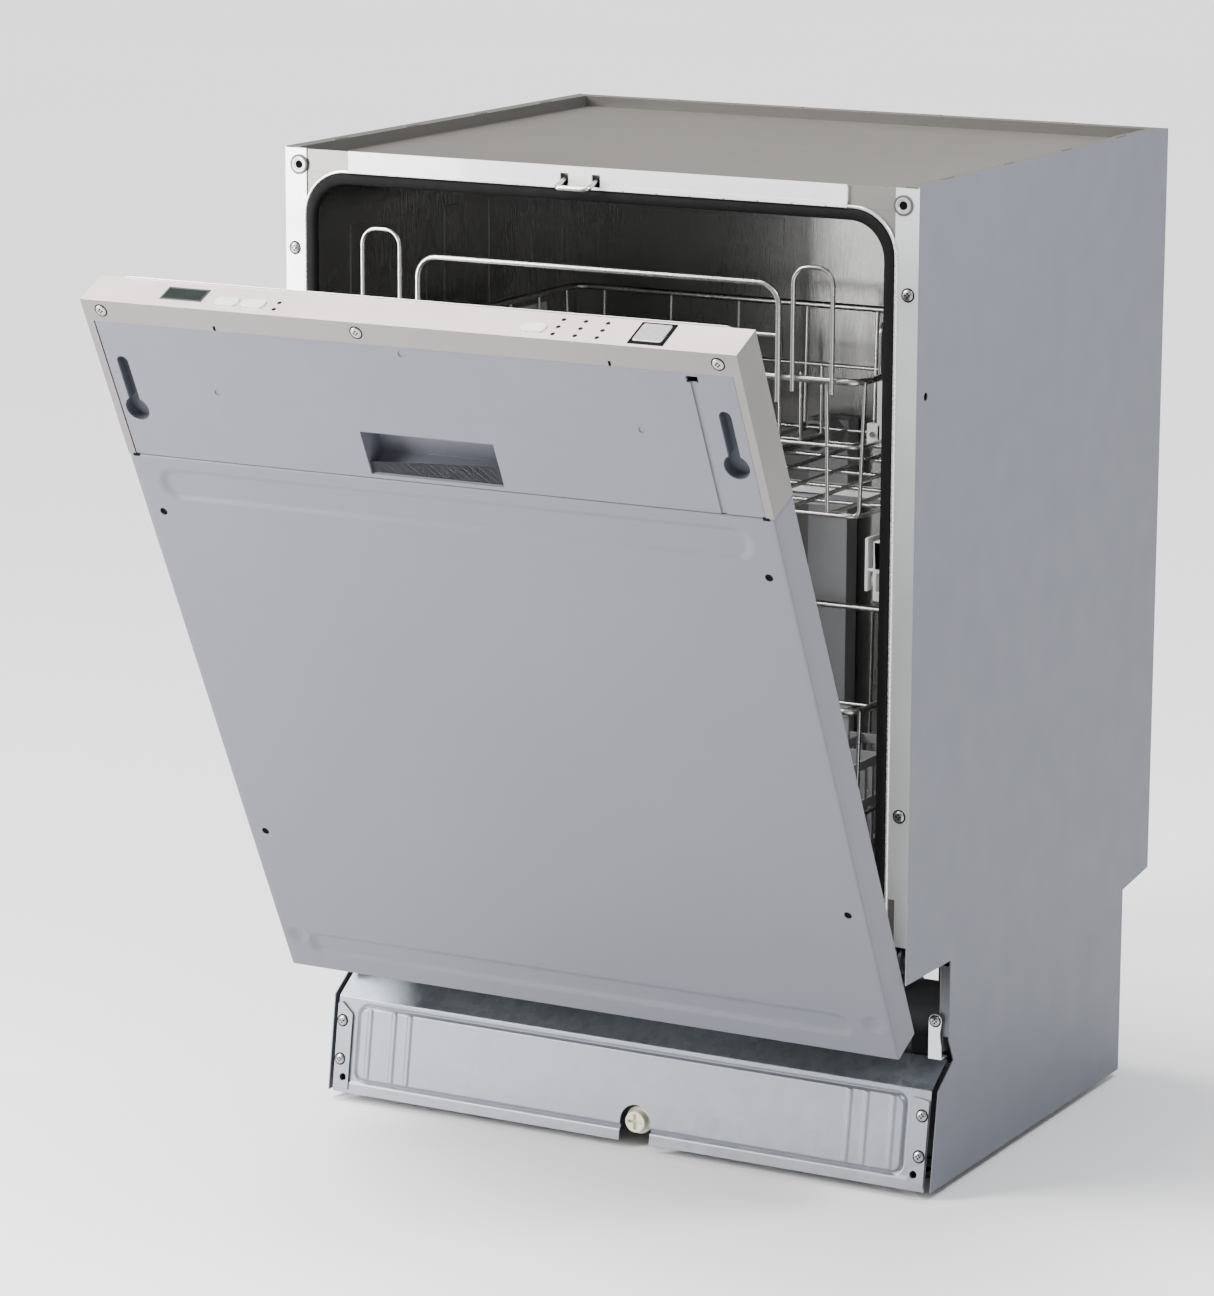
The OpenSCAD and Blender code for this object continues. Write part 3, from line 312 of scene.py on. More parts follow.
STEEL_BLUE = (0.102, 0.108, 0.133)
MATERIALS = {
    "side": coated_steel("side_paint", STEEL_BLUE, 0.44, 0.03, 0.06),
    "door_sheet": coated_steel("door_paint", (0.116, 0.119, 0.143), 0.44, 0.04, 0.04),
    "top_sheet": coated_steel("top_paint", (0.135, 0.122, 0.106), 0.42, 0.08, 0.30),
    "zinc": galvanised("zinc_sheet", (0.265, 0.278, 0.308), 0.46, 90.0, 0.08),
    "zinc_dark": galvanised("zinc_shelf", (0.205, 0.228, 0.250), 0.38, 130.0, 0.22, 0.1),
    "zinc_bright": galvanised("zinc_bracket", (0.62, 0.65, 0.70), 0.34, 120.0, 0.08),
    "fascia": brushed_metal("fascia_brushed", (0.690, 0.605, 0.575), 0.38, patch=0.10, metal=0.55),
    # Painted shade: a darker copy of the fascia's brushed steel for its forward and side faces.
    "fascia_shade_copy": brushed_metal("fascia_painted_shade", (0.190, 0.178, 0.172), 0.34, patch=0.07),
    "flange": brushed_metal(
        "flange_steel", (0.200, 0.190, 0.175), 0.40, (30.0, 30.0, 30.0), 0.00003, 0.06, 0.6
    ),
    "edge_bright": brushed_metal(
        "edge_bright", (0.860, 0.860, 0.840), 0.25, (20.0, 20.0, 20.0), 0.00002, 0.03, 0.7
    ),
    "rim_sheet": coated_steel("rim_paint", (0.110, 0.104, 0.095), 0.40, 0.10, 0.30),
    # Painted shade: near-black for the insides of holes and sockets.
    "void": moulded("hole_shadow", (0.004, 0.004, 0.005), 0.90, gloss=0.05),
    # Painted shade: the near-black floors of the keyhole pockets.
    "navy": moulded("recess_shadow", (0.030, 0.034, 0.048), 0.70),
    "bush": coated_steel("bush_plating", (0.420, 0.410, 0.395), 0.34, 0.08, 0.7),
    "tub": brushed_metal("tub_stainless", (0.260, 0.256, 0.245), 0.28, (60.0, 60.0, 2.0), 0.00002, 0.03),
    "liner": brushed_metal("liner_stainless", (0.560, 0.560, 0.560), 0.28, (1.0, 60.0, 60.0), 0.00003),
    "strip": brushed_metal(
        "strip_steel", (0.640, 0.665, 0.650), 0.36, (60.0, 60.0, 1.0), 0.00003, 0.05, 0.55
    ),
    "rail": brushed_metal("rail_stainless", (0.600, 0.600, 0.590), 0.26, (60.0, 1.0, 60.0), 0.00003),
    "spring": brushed_metal("spring_steel", (0.300, 0.300, 0.310), 0.34, (40.0, 1.0, 40.0), 0.00003),
    # Painted shade: near-black for the gaps round screw heads and the power button, and in the screws' crosses.
    "screw_shade": moulded("screw_shade", (0.007, 0.007, 0.008), 0.85, gloss=0.05),
    "screw": brushed_metal("screw_plating", (0.330, 0.330, 0.330), 0.30, (30.0, 30.0, 30.0), 0.00002, 0.10),
    "wire": brushed_metal("basket_wire", (0.500, 0.495, 0.475), 0.27, (40.0, 40.0, 40.0), 0.00003, 0.06),
    "striker": brushed_metal("striker_wire", (0.640, 0.630, 0.610), 0.22, (40.0, 40.0, 40.0), 0.00002, 0.05),
    # Painted shade: a darker copy of the cover plastic for the keyhole pockets' walls.
    "recess": moulded("keyhole_wall_shade", (0.055, 0.060, 0.075), 0.55, 1300.0, 0.00004, 0.04),
    "cover": moulded("cover_plastic", (0.122, 0.125, 0.150), 0.46, 600.0, 0.00001, 0.025),
    "grey": moulded("grey_plastic", (0.340, 0.350, 0.365), 0.44),
    "pale_grey": moulded("pale_grey_plastic", (0.440, 0.450, 0.465), 0.40),
    "white": moulded("white_plastic", (0.780, 0.780, 0.765), 0.36, 1200.0, 0.00003, 0.02),
    "trim_white": moulded("trim_white", (0.900, 0.890, 0.875), 0.26, 900.0, 0.00002, 0.02, 0.4),
    "black": moulded("black_plastic", (0.022, 0.022, 0.024), 0.46),
    "rubber": moulded("seal_rubber", (0.006, 0.006, 0.006), 0.70, 700.0, 0.00008, gloss=0.12),
    "dark": moulded("dark_plastic", (0.060, 0.062, 0.066), 0.44),
    "dark_steel": coated_steel("dark_steel", (0.120, 0.124, 0.130), 0.40, 0.12, 0.6),
    "arm_steel": galvanised("arm_zinc", (0.36, 0.37, 0.40), 0.36, 150.0, 0.10),
    "cream": moulded("cream_plastic", (0.680, 0.660, 0.510), 0.40),
    "button": moulded("button_plastic", (0.900, 0.875, 0.860), 0.26, 1500.0, 0.00002, 0.015, 0.3),
    "power": brushed_metal("power_cap", (0.560, 0.550, 0.545), 0.26, (20.0, 20.0, 20.0), 0.00002, 0.05, 0.9),
    "display": dark_glass("display_glass", (0.012, 0.018, 0.015)),
    "lamp": dark_glass("lamp_lens", (0.006, 0.007, 0.006)),
}

NODE_LOOK = {
    "side_panel_left": "side", "side_panel_right": "side", "top_panel": "top_sheet",
    "back_panel": "zinc", "tub": "tub", "top_trim": "trim_white",
    "striker": "striker",
    "hinge_brackets": "dark_steel",
    "base_tray": "dark", "sump": "dark", "filter_plate": "rail",
    "filter_cup": "grey", "wash_pump": "dark", "drain_pump": "pale_grey", "inlet_valve": "white",
    "drain_spigot": "grey", "feed_pipe": "pale_grey", "lower_spray_arm": "pale_grey",
    "rack_rails": "rail", "rail_stops": "white", "rail_roller_left": "white",
    "rail_roller_right": "white", "front_foot_left": "black", "front_foot_right": "black",
    "rear_foot": "black", "rear_foot_adjuster": "cream",
    "door_cover": "cover", "fascia": "fascia", "door_liner": "liner", "door_hinge_arms": "arm_steel",
    "door_latch": "dark",
    "indicator_lights": "lamp", "power_button": "power", "program_button": "button",
    "option_button_a": "button", "option_button_b": "button", "dispenser_body": "pale_grey",
    "dispenser_lid": "pale_grey", "rinse_cap": "dark",
    "upper_slides": "white", "upper_wheel_left": "white",
    "upper_wheel_right": "white", "upper_spray_arm": "pale_grey",
    "lower_wheels_front": "pale_grey", "lower_wheels_rear": "pale_grey",
}


def paint_node(name):
    item = frame["nodes"][name]
    look = MATERIALS[NODE_LOOK[name]]
    if not item.data.materials:
        item.data.materials.append(look)
    for index in range(len(item.material_slots)):
        item.material_slots[index].material = look


def weigh_normals(piece):
    """Keeps large flat faces flat where they meet rounded edges."""
    normals = piece.modifiers.new("normals", "WEIGHTED_NORMAL")
    normals.weight = 100
    normals.keep_sharp = True


# ---------------------------------------------------------------- softened copies of CAD pieces
def softened(name, width=0.0004, segments=2, look=None, angle=32.0, regions=()):
    """A copy of a CAD node with its flat faces joined up and its edges rounded."""
    source = frame["nodes"][name]
    mesh = bpy.data.meshes.new(name + "_shape")
    bm = bmesh.new()
    bm.from_mesh(source.data)
    bm.transform(source.matrix_world)
    bmesh.ops.remove_doubles(bm, verts=bm.verts, dist=0.00001)
    bmesh.ops.dissolve_limit(bm, angle_limit=math.radians(0.6), verts=bm.verts, edges=bm.edges)
    bm.to_mesh(mesh)
    bm.free()
    piece = bpy.data.objects.new(name + "_piece", mesh)
    bpy.context.collection.objects.link(piece)
    for polygon in mesh.polygons:
        polygon.use_smooth = True
    bevel = piece.modifiers.new("edge", "BEVEL")
    bevel.width = width
    bevel.segments = segments
    bevel.limit_method = "ANGLE"
    bevel.angle_limit = math.radians(angle)
    bevel.use_clamp_overlap = True
    weigh_normals(piece)
    mesh.materials.append(MATERIALS[look or NODE_LOOK[name]])
    for index, (region_look, test) in enumerate(regions, 1):
        mesh.materials.append(MATERIALS[region_look])
        for polygon in mesh.polygons:
            if test(polygon):
                polygon.material_index = index
    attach(piece, BODY_OF[name])
    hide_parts(name)
    return piece


# ---------------------------------------------------------------- shapes, drawn in millimetres
MM = 0.001
DOOR_HINGE = Vector(JOINTS["door_hinge"]["pos_m"])
DOOR_ANGLE = -math.radians(JOINTS["door_hinge"]["range_deg"][0])
DOOR_TURN = (
    Matrix.Translation(DOOR_HINGE)
    @ Matrix.Rotation(DOOR_ANGLE, 4, "X")
    @ Matrix.Translation(-DOOR_HINGE)
)


def box_mm(node):
    """Low and high corners of a CAD node, in millimetres."""
    return (Vector(corner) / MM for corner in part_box(node))


def ring_of(centre, right, up, radius, sides):
    """Points of a circle that two unit vectors span."""
    turns = [math.tau * k / sides for k in range(sides)]
    return [centre + (right * math.cos(turn) + up * math.sin(turn)) * radius for turn in turns]


def place_mesh(bm, name, look, body, nodes, turn=None, smooth=True):
    """Turns a bmesh in millimetres into a piece that rides a body and stands for CAD nodes."""
    bmesh.ops.recalc_face_normals(bm, faces=bm.faces)
    bm.transform(Matrix.Scale(MM, 4))
    if turn is not None:
        bm.transform(turn)
    mesh = bpy.data.meshes.new(name)
    bm.to_mesh(mesh)
    bm.free()
    for polygon in mesh.polygons:
        polygon.use_smooth = smooth
    mesh.materials.append(MATERIALS[look])
    piece = bpy.data.objects.new(name, mesh)
    bpy.context.collection.objects.link(piece)
    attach(piece, body)
    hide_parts(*nodes)
    return piece


def add_bevel(piece, width, segments=2, angle=32.0):
    edge = piece.modifiers.new("edge", "BEVEL")
    edge.width = width * MM
    edge.segments = segments
    edge.limit_method = "ANGLE"
    edge.angle_limit = math.radians(angle)
    edge.use_clamp_overlap = True
    edge.harden_normals = True


def bent(points, radius, steps=6, closed=False):
    """A line of points with every inner corner turned into an arc."""
    points = [Vector(point) for point in points]
    made = []
    count = len(points)
    for index, point in enumerate(points):
        if not closed and index in (0, count - 1):
            made.append(point)
            continue
        before = points[index - 1] - point
        after = points[(index + 1) % count] - point
        half = before.angle(after) / 2
        if abs(half - math.pi / 2) < 0.01:
            made.append(point)
            continue
        cut = min(radius / math.tan(half), before.length * 0.49, after.length * 0.49)
        curve = cut * math.tan(half)
        start = point + before.normalized() * cut
        stop = point + after.normalized() * cut
        centre = point + (before.normalized() + after.normalized()).normalized() * (curve / math.sin(half))
        first, last = start - centre, stop - centre
        axis = first.cross(last).normalized()
        sweep = first.angle(last)
        for step in range(steps + 1):
            made.append(centre + Matrix.Rotation(sweep * step / steps, 3, axis) @ first)
    return made


def sweep(bm, path, radius, sides=10, closed=False):
    """A round wire along a line of points."""
    count = len(path)
    heading = []
    for index in range(count):
        ahead = path[(index + 1) % count] if closed or index < count - 1 else path[index]
        behind = path[index - 1] if closed or index > 0 else path[index]
        heading.append((ahead - behind).normalized())
    side = heading[0].orthogonal().normalized()
    rings = []
    for index, point in enumerate(path):
        side = (side - heading[index] * side.dot(heading[index])).normalized()
        other = heading[index].cross(side)
        rings.append([bm.verts.new(place) for place in ring_of(point, side, other, radius, sides)])
    pairs = list(zip(rings, rings[1:]))
    if closed:
        lead = rings[0][0].co - path[0]
        turn = min(range(sides), key=lambda k: -(rings[-1][k].co - path[-1]).dot(lead))
        rings_last = rings[-1][turn:] + rings[-1][:turn]
        pairs.append((rings_last, rings[0]))
    for first, second in pairs:
        for k in range(sides):
            bm.faces.new((first[k], first[(k + 1) % sides], second[(k + 1) % sides], second[k]))
    if not closed:
        bm.faces.new(rings[0][::-1])
        bm.faces.new(rings[-1])


def wire(bm, points, width, bend=0.0, sides=10, closed=False):
    path = bent(points, bend, closed=closed) if bend else [Vector(point) for point in points]
    sweep(bm, path, width / 2, sides, closed)


def block(bm, x0, x1, y0, y1, z0, z1):
    corners = [bm.verts.new((x, y, z)) for x in (x0, x1) for y in (y0, y1) for z in (z0, z1)]
    for face in ((0, 1, 3, 2), (4, 6, 7, 5), (0, 4, 5, 1), (2, 3, 7, 6), (0, 2, 6, 4), (1, 5, 7, 3)):
        bm.faces.new([corners[k] for k in face])


def plate(bm, outline, y0, y1):
    """An outline of (x, z) points extruded along Y."""
    near = [bm.verts.new((x, y0, z)) for x, z in outline]
    far = [bm.verts.new((x, y1, z)) for x, z in outline]
    bm.faces.new(near)
    bm.faces.new(far[::-1])
    count = len(outline)
    for k in range(count):
        bm.faces.new((near[k], near[(k + 1) % count], far[(k + 1) % count], far[k]))


def cylinder(bm, place, axis, length, radius, sides=32, radius_end=None):
    """A closed round bar that starts at place and runs along axis."""
    place, axis = Vector(place), Vector(axis).normalized()
    side = axis.orthogonal().normalized()
    other = axis.cross(side)
    rings = []
    for along, size in ((0.0, radius), (length, radius_end or radius)):
        rings.append([bm.verts.new(spot) for spot in ring_of(place + axis * along, side, other, size, sides)])
    for k in range(sides):
        bm.faces.new((rings[0][k], rings[0][(k + 1) % sides], rings[1][(k + 1) % sides], rings[1][k]))
    bm.faces.new(rings[0][::-1])
    bm.faces.new(rings[1])


def pill_distance(x, z, centre_x, centre_z, width, height, radius):
    """Signed distance to a rounded rectangle, negative inside it."""
    dx = abs(x - centre_x) - (width / 2 - radius)
    dz = abs(z - centre_z) - (height / 2 - radius)
    outside = math.hypot(max(dx, 0.0), max(dz, 0.0))
    return outside + min(max(dx, dz), 0.0) - radius


def soft_step(distance, slope):
    """1 well inside a shape, 0 outside, with a smooth slope between."""
    t = min(max(0.5 - distance / slope, 0.0), 1.0)
    return t * t * (3.0 - 2.0 * t)


def spread(low, high, step):
    count = max(1, round((high - low) / step))
    return [low + (high - low) * k / count for k in range(count + 1)]


def cut_with(piece, cutter_bm, name, turn=None):
    """Cuts a closed cutter, drawn in millimetres, out of a piece and keeps the result as its mesh."""
    bmesh.ops.recalc_face_normals(cutter_bm, faces=cutter_bm.faces)
    cutter_bm.transform(Matrix.Scale(MM, 4))
    if turn is not None:
        cutter_bm.transform(turn)
    mesh = bpy.data.meshes.new(name)
    cutter_bm.to_mesh(mesh)
    cutter_bm.free()
    cutter = bpy.data.objects.new(name, mesh)
    bpy.context.collection.objects.link(cutter)
    difference = piece.modifiers.new("cut", "BOOLEAN")
    difference.operation = "DIFFERENCE"
    difference.solver = "MANIFOLD"
    difference.object = cutter
    bake(piece)
    bpy.data.objects.remove(cutter)
    bpy.data.meshes.remove(mesh)


def bake(piece):
    """Applies the piece's modifiers to its mesh."""
    bpy.context.view_layer.update()
    evaluated = piece.evaluated_get(bpy.context.evaluated_depsgraph_get())
    mesh = bpy.data.meshes.new_from_object(evaluated)
    old = piece.data
    mesh.name = old.name + "_baked"
    piece.modifiers.clear()
    piece.data = mesh
    bpy.data.meshes.remove(old)


def thicken(piece, thickness):
    wall = piece.modifiers.new("wall", "SOLIDIFY")
    wall.thickness = thickness * MM
    wall.offset = -1.0
    bake(piece)


# ---------------------------------------------------------------- door
DOOR_HALF = 296.5
DOOR_TOP = 860.0
DOOR_FACE = -39.0
DOOR_BACK = -6.0
DOOR_LOW = 158.0
DOOR_SEAM = 708.6
PAN_BEND = 1.8
TOP_PILL = (-1.0, 681.6, 540.0, 27.0, 13.0)
LOW_PILL = (-6.0, 188.0, 524.0, 20.0, 9.5)
PILL_DEPTH = 2.6
PILL_SLOPE = 6.5
DIMPLES = ((-280.0, 194.0), (280.0, 194.0))
DIMPLE_RADIUS = 7.5
DIMPLE_DEPTH = 1.9
PANEL_HOLES = ((-280.0, 312.0), (-280.0, 652.0), (280.0, 312.0), (280.0, 652.0))
PANEL_HOLE_RADIUS = 3.5


def panel_depth(x, z):
    depth = 0.0
    for pill in (TOP_PILL, LOW_PILL):
        depth += PILL_DEPTH * soft_step(pill_distance(x, z, *pill), PILL_SLOPE)
    for centre in DIMPLES:
        away = math.hypot(x - centre[0], z - centre[1]) - DIMPLE_RADIUS
        depth += DIMPLE_DEPTH * soft_step(away, 5.0)
    return depth


def build_door_panel():
    bm = bmesh.new()
    left, right = -DOOR_HALF + PAN_BEND, DOOR_HALF - PAN_BEND
    low, high = DOOR_LOW + PAN_BEND, DOOR_SEAM - PAN_BEND
    xs = spread(left, right, 3.4)
    zs = sorted(set(
        spread(low, 212.0, 1.5) + spread(212.0, 655.0, 22.0) + spread(655.0, high, 1.7)
    ))
    grid = [[bm.verts.new((x, DOOR_FACE + panel_depth(x, z), z)) for z in zs] for x in xs]
    for i in range(len(xs) - 1):
        for j in range(len(zs) - 1):
            bm.faces.new((grid[i][j], grid[i + 1][j], grid[i + 1][j + 1], grid[i][j + 1]))
    rim = []
    corner_steps = 4

    def corner(vertex, start):
        for step in range(corner_steps + 1):
            angle = math.radians(start + 90.0 * step / corner_steps)
            rim.append((vertex, math.cos(angle), math.sin(angle)))

    last_x, last_z = len(xs) - 1, len(zs) - 1
    corner(grid[last_x][0], -90.0)
    rim += [(grid[last_x][j], 1.0, 0.0) for j in range(1, last_z)]
    corner(grid[last_x][last_z], 0.0)
    rim += [(grid[i][last_z], 0.0, 1.0) for i in range(last_x - 1, 0, -1)]
    corner(grid[0][last_z], 90.0)
    rim += [(grid[0][j], -1.0, 0.0) for j in range(last_z - 1, 0, -1)]
    corner(grid[0][0], 180.0)
    rim += [(grid[i][0], 0.0, -1.0) for i in range(1, last_x)]
    levels = [
        (PAN_BEND * math.sin(math.radians(a)), DOOR_FACE + PAN_BEND * (1.0 - math.cos(math.radians(a))))
        for a in (22.5, 45.0, 67.5, 90.0)
    ]
    levels += [(PAN_BEND, DOOR_FACE + 12.0), (PAN_BEND, DOOR_BACK)]
    inner = [entry[0] for entry in rim]
    for out, depth in levels:
        ring = [
            bm.verts.new((vertex.co.x + nx * out, depth, vertex.co.z + nz * out)) for vertex, nx, nz in rim
        ]
        for k in range(len(rim)):
            other = (k + 1) % len(rim)
            face = [inner[k], inner[other], ring[other], ring[k]]
            if face[0] is face[1]:
                face.pop(0)
            bm.faces.new(face)
        inner = ring
    piece = place_mesh(bm, "door_panel_pan", "door_sheet", "door", ["door_panel"], turn=DOOR_TURN)
    thicken(piece, 0.9)
    cutter = bmesh.new()
    for x, z in PANEL_HOLES:
        cylinder(cutter, (x, DOOR_FACE - 6.0, z), (0, 1, 0), 12.0, PANEL_HOLE_RADIUS)
    cut_with(piece, cutter, "panel_hole_cutter", DOOR_TURN)
    keep_sharp(piece, 40.0)
    # Near-black discs behind the panel's holes: painted shade seen through each hole.
    hole_shade_discs = bmesh.new()
    for x, z in PANEL_HOLES:
        cylinder(hole_shade_discs, (x, DOOR_FACE + 1.0, z), (0, 1, 0), 5.0, PANEL_HOLE_RADIUS + 1.6, 24)
    place_mesh(hole_shade_discs, "panel_hole_painted_shade", "void", "door", ["door_panel"], turn=DOOR_TURN, smooth=False)


def keep_sharp(piece, angle):
    """Smooth shading that breaks only at edges steeper than angle."""
    for polygon in piece.data.polygons:
        polygon.use_smooth = True
    piece.data.set_sharp_from_angle(angle=math.radians(angle))


# ---------------------------------------------------------------- plinth
PLINTH_LOW = Vector((0.0, 55.0, 8.0))
PLINTH_TOP = Vector((0.0, 68.0, 94.0))
SHELF_BACK = Vector((0.0, 98.0, 114.0))
PLINTH_HALF = 293.0
FACE_LENGTH = (PLINTH_TOP - PLINTH_LOW).length
FACE_UP = (PLINTH_TOP - PLINTH_LOW).normalized()
FACE_OUT = Vector((0.0, -FACE_UP.z, FACE_UP.y))
PLINTH_PANEL = (0.0, FACE_LENGTH / 2 + 3.0, 541.0, 68.0, 9.0)
RIB_PLACES = (218.0, 234.0, 259.0)
RIB_HEIGHT = 52.0


def on_face(x, up, out):
    """A point in millimetres on the plinth's leaning face."""
    point = PLINTH_LOW + FACE_UP * up + FACE_OUT * out
    return (x, point.y, point.z)


def plinth_relief(x, up):
    """How far the plinth's face is pressed out at a point: a raised panel in a groove, with upright ribs."""
    edge = pill_distance(x, up, *PLINTH_PANEL)
    relief = 1.5 * soft_step(edge + 1.4, 1.8)
    relief -= 1.5 * math.exp(-((edge - 0.4) / 1.1) ** 2)
    for place in RIB_PLACES:
        rib = pill_distance(abs(x), up, place, PLINTH_PANEL[1], 4.4, RIB_HEIGHT + 12.0, 2.0)
        relief += 1.1 * soft_step(rib, 1.6)
    lip = 1.0 / (1.0 + math.exp((up - 10.0) * 3.5))
    return relief + 1.2 * lip


def build_plinth():
    bm = bmesh.new()
    xs = sorted(set(
        [round(s * v, 3) for s in (-1, 1) for v in spread(205.0, PLINTH_HALF, 0.8)] + spread(
            -205.0, 205.0, 6.0
        )
    ))
    ups = sorted(set(spread(0.0, 22.0, 0.8) + spread(22.0, 66.0, 5.5) + spread(66.0, FACE_LENGTH - 1.6, 0.8)))
    rows = [[on_face(x, up, plinth_relief(x, up)) for x in xs] for up in ups]
    bend = bent([PLINTH_LOW, PLINTH_TOP, SHELF_BACK], 2.6, 5)[1:]
    tail = bend + [SHELF_BACK + Vector((0, 1.2, -1.6)), SHELF_BACK + Vector((0, 1.2, -7.0))]
    rows += [[(x, point.y, point.z) for x in xs] for point in tail]
    grid = [[bm.verts.new(place) for place in row] for row in rows]
    for j in range(len(grid) - 1):
        for i in range(len(xs) - 1):
            bm.faces.new((grid[j][i], grid[j][i + 1], grid[j + 1][i + 1], grid[j + 1][i]))
    piece = place_mesh(bm, "plinth_sheet", "zinc", "cabinet", ["plinth_panel"])
    piece.data.materials.append(MATERIALS["zinc_dark"])
    fold = PLINTH_TOP.z * MM - 0.0006
    for polygon in piece.data.polygons:
        if polygon.center.z > fold:
            polygon.material_index = 1
    thicken(piece, 1.0)
    cutter = bmesh.new()
    notch = [(0.0, -6.0), (30.0, -6.0), (30.0, 18.0)]
    notch += [
        (15.0 + 15.0 * math.cos(math.pi * k / 16), 18.0 + 15.0 * math.sin(math.pi * k / 16))
        for k in range(1, 16)
    ]
    notch += [(0.0, 18.0)]
    plate(cutter, [(x, z + 8.0) for x, z in notch], 40.0, 75.0)
    for s in (-1, 1):
        cylinder(cutter, on_face(s * 283.0, 14.0, 6.0), -FACE_OUT, 12.0, 3.4)
    cut_with(piece, cutter, "plinth_cutter")
    keep_sharp(piece, 40.0)
    tabs = bmesh.new()
    for s in (-1, 1):
        outline = [(277.4, 3.6), (292.6, 3.6), (292.6, 66.0 if s < 0 else 78.0), (283.0, 79.5), (277.4, 79.5)]
        if s < 0:
            outline = [(277.4, 3.6), (292.6, 3.6), (292.6, 80.0), (289.0, 82.0), (277.4, 72.0)]
        points = [(s * x, up) for x, up in outline]
        near = [tabs.verts.new(on_face(x, up, 2.5)) for x, up in points]
        far = [tabs.verts.new(on_face(x, up, 1.1)) for x, up in points]
        tabs.faces.new(near)
        tabs.faces.new(far[::-1])
        for k in range(5):
            tabs.faces.new((near[k], near[(k + 1) % 5], far[(k + 1) % 5], far[k]))
    tab_piece = place_mesh(tabs, "plinth_tabs", "zinc", "cabinet", ["plinth_panel"], smooth=False)
    cutter = bmesh.new()
    for s in (-1, 1):
        cylinder(cutter, on_face(s * 283.0, 14.0, 6.0), -FACE_OUT, 12.0, 3.4)
    cut_with(tab_piece, cutter, "tab_cutter")
    add_bevel(tab_piece, 0.35)
    # Near-black discs behind the plinth's screw holes: painted shade seen through them.
    plinth_hole_shade = bmesh.new()
    for s in (-1, 1):
        cylinder(plinth_hole_shade, on_face(s * 283.0, 14.0, -1.2), -FACE_OUT, 4.0, 4.6, 24)
    place_mesh(plinth_hole_shade, "plinth_hole_painted_shade", "void", "cabinet", ["plinth_panel"], smooth=False)


def build_plinth_brackets():
    bm = bmesh.new()
    for s in (-1, 1):
        ear = [
            (287.0 + 6.0 * math.cos(math.radians(a)), 150.0 + 6.0 * math.sin(math.radians(a)))
            for a in range(0, 181, 20)
        ]
        flank = [(281.0, 136.0), (281.0, 116.4), (297.0 - 4.0, 116.4), (293.0, 128.0)]
        hollow = [
            (293.0 - 1.6 * math.sin(math.radians(a)), 128.0 + 14.0 * a / 90.0) for a in (15, 35, 55, 75)
        ]
        outline = [(s * x, z) for x, z in ear + flank + hollow]
        plate(bm, outline if s > 0 else outline[::-1], 85.0, 86.6)
        block(bm, *(sorted((s * 281.0, s * 293.0))), 86.5, 97.8, 116.2, 117.8)
    piece = place_mesh(bm, "bracket_plates", "zinc_bright", "cabinet", ["plinth_brackets"], smooth=False)
    add_bevel(piece, 0.3)


# ---------------------------------------------------------------- wire baskets
HALF_BASKET = 241.0
RIM_WIDTH = 6.0
WIRE_WIDTH = 3.6


def shelf_wires(bm, node_y0, node_y1, floor_z, mid_z, top_z):
    """Rim, sides, ends and floor of a basket, each wire bent as one length where it turns a corner."""
    y0, y1 = node_y0 + RIM_WIDTH / 2, node_y1 - RIM_WIDTH / 2
    half, low = HALF_BASKET, HALF_BASKET - 4.0
    wire(
        bm, [(-half, y0, top_z), (half, y0, top_z), (half, y1, top_z), (-half, y1, top_z)], RIM_WIDTH, 16.0,
        12, True
    )
    for inset, z in ((2.0, mid_z), (4.0, floor_z)):
        wire(bm, [
            (inset - half, y0 + inset, z), (half - inset, y0 + inset, z),
            (half - inset, y1 - inset, z), (inset - half, y1 - inset, z),
        ], WIRE_WIDTH, 14.0, 10, True)
    for k in range(11):
        x = -210.0 + 42.0 * k
        wire(bm, [(x, y0 + 4.0, floor_z), (x, y1 - 4.0, floor_z)], WIRE_WIDTH)
    for k in range(1, 6):
        y = y0 + 66.0 * k
        wire(bm, [(-low, y, floor_z - 1.5), (low, y, floor_z - 1.5)], WIRE_WIDTH)
    for k in range(7):
        x = -210.0 + 70.0 * k
        for near, far in ((y0, y0 + 4.0), (y1, y1 - 4.0)):
            inward = 14.0 if far > near else -14.0
            wire(
                bm, [(x, near, top_z), (x, far, floor_z + 0.4), (x, far + inward, floor_z + 0.4)],
                WIRE_WIDTH, 6.0
            )
    for s in (-1, 1):
        for k in range(8):
            y = y0 + 8.0 + 52.0 * k
            wire(
                bm,
                [(s * half, y, top_z), (s * low, y, floor_z + 0.4), (s * (low - 14.0), y, floor_z + 0.4)],
                WIRE_WIDTH, 6.0
            )


def tine_row(bm, x, y_first, pitch, count, foot_z, top_z):
    wire(bm, [(x, y_first - 8.0, foot_z), (x, y_first + pitch * (count - 1) + 8.0, foot_z)], WIRE_WIDTH)
    for k in range(count):
        y = y_first + pitch * k
        wire(bm, [(x, y, foot_z), (x, y, top_z - 1.0)], WIRE_WIDTH)
        cylinder(bm, (x, y, top_z - 1.2), (0, 0, 1), 1.2, WIRE_WIDTH / 2, 10, WIRE_WIDTH / 3.2)


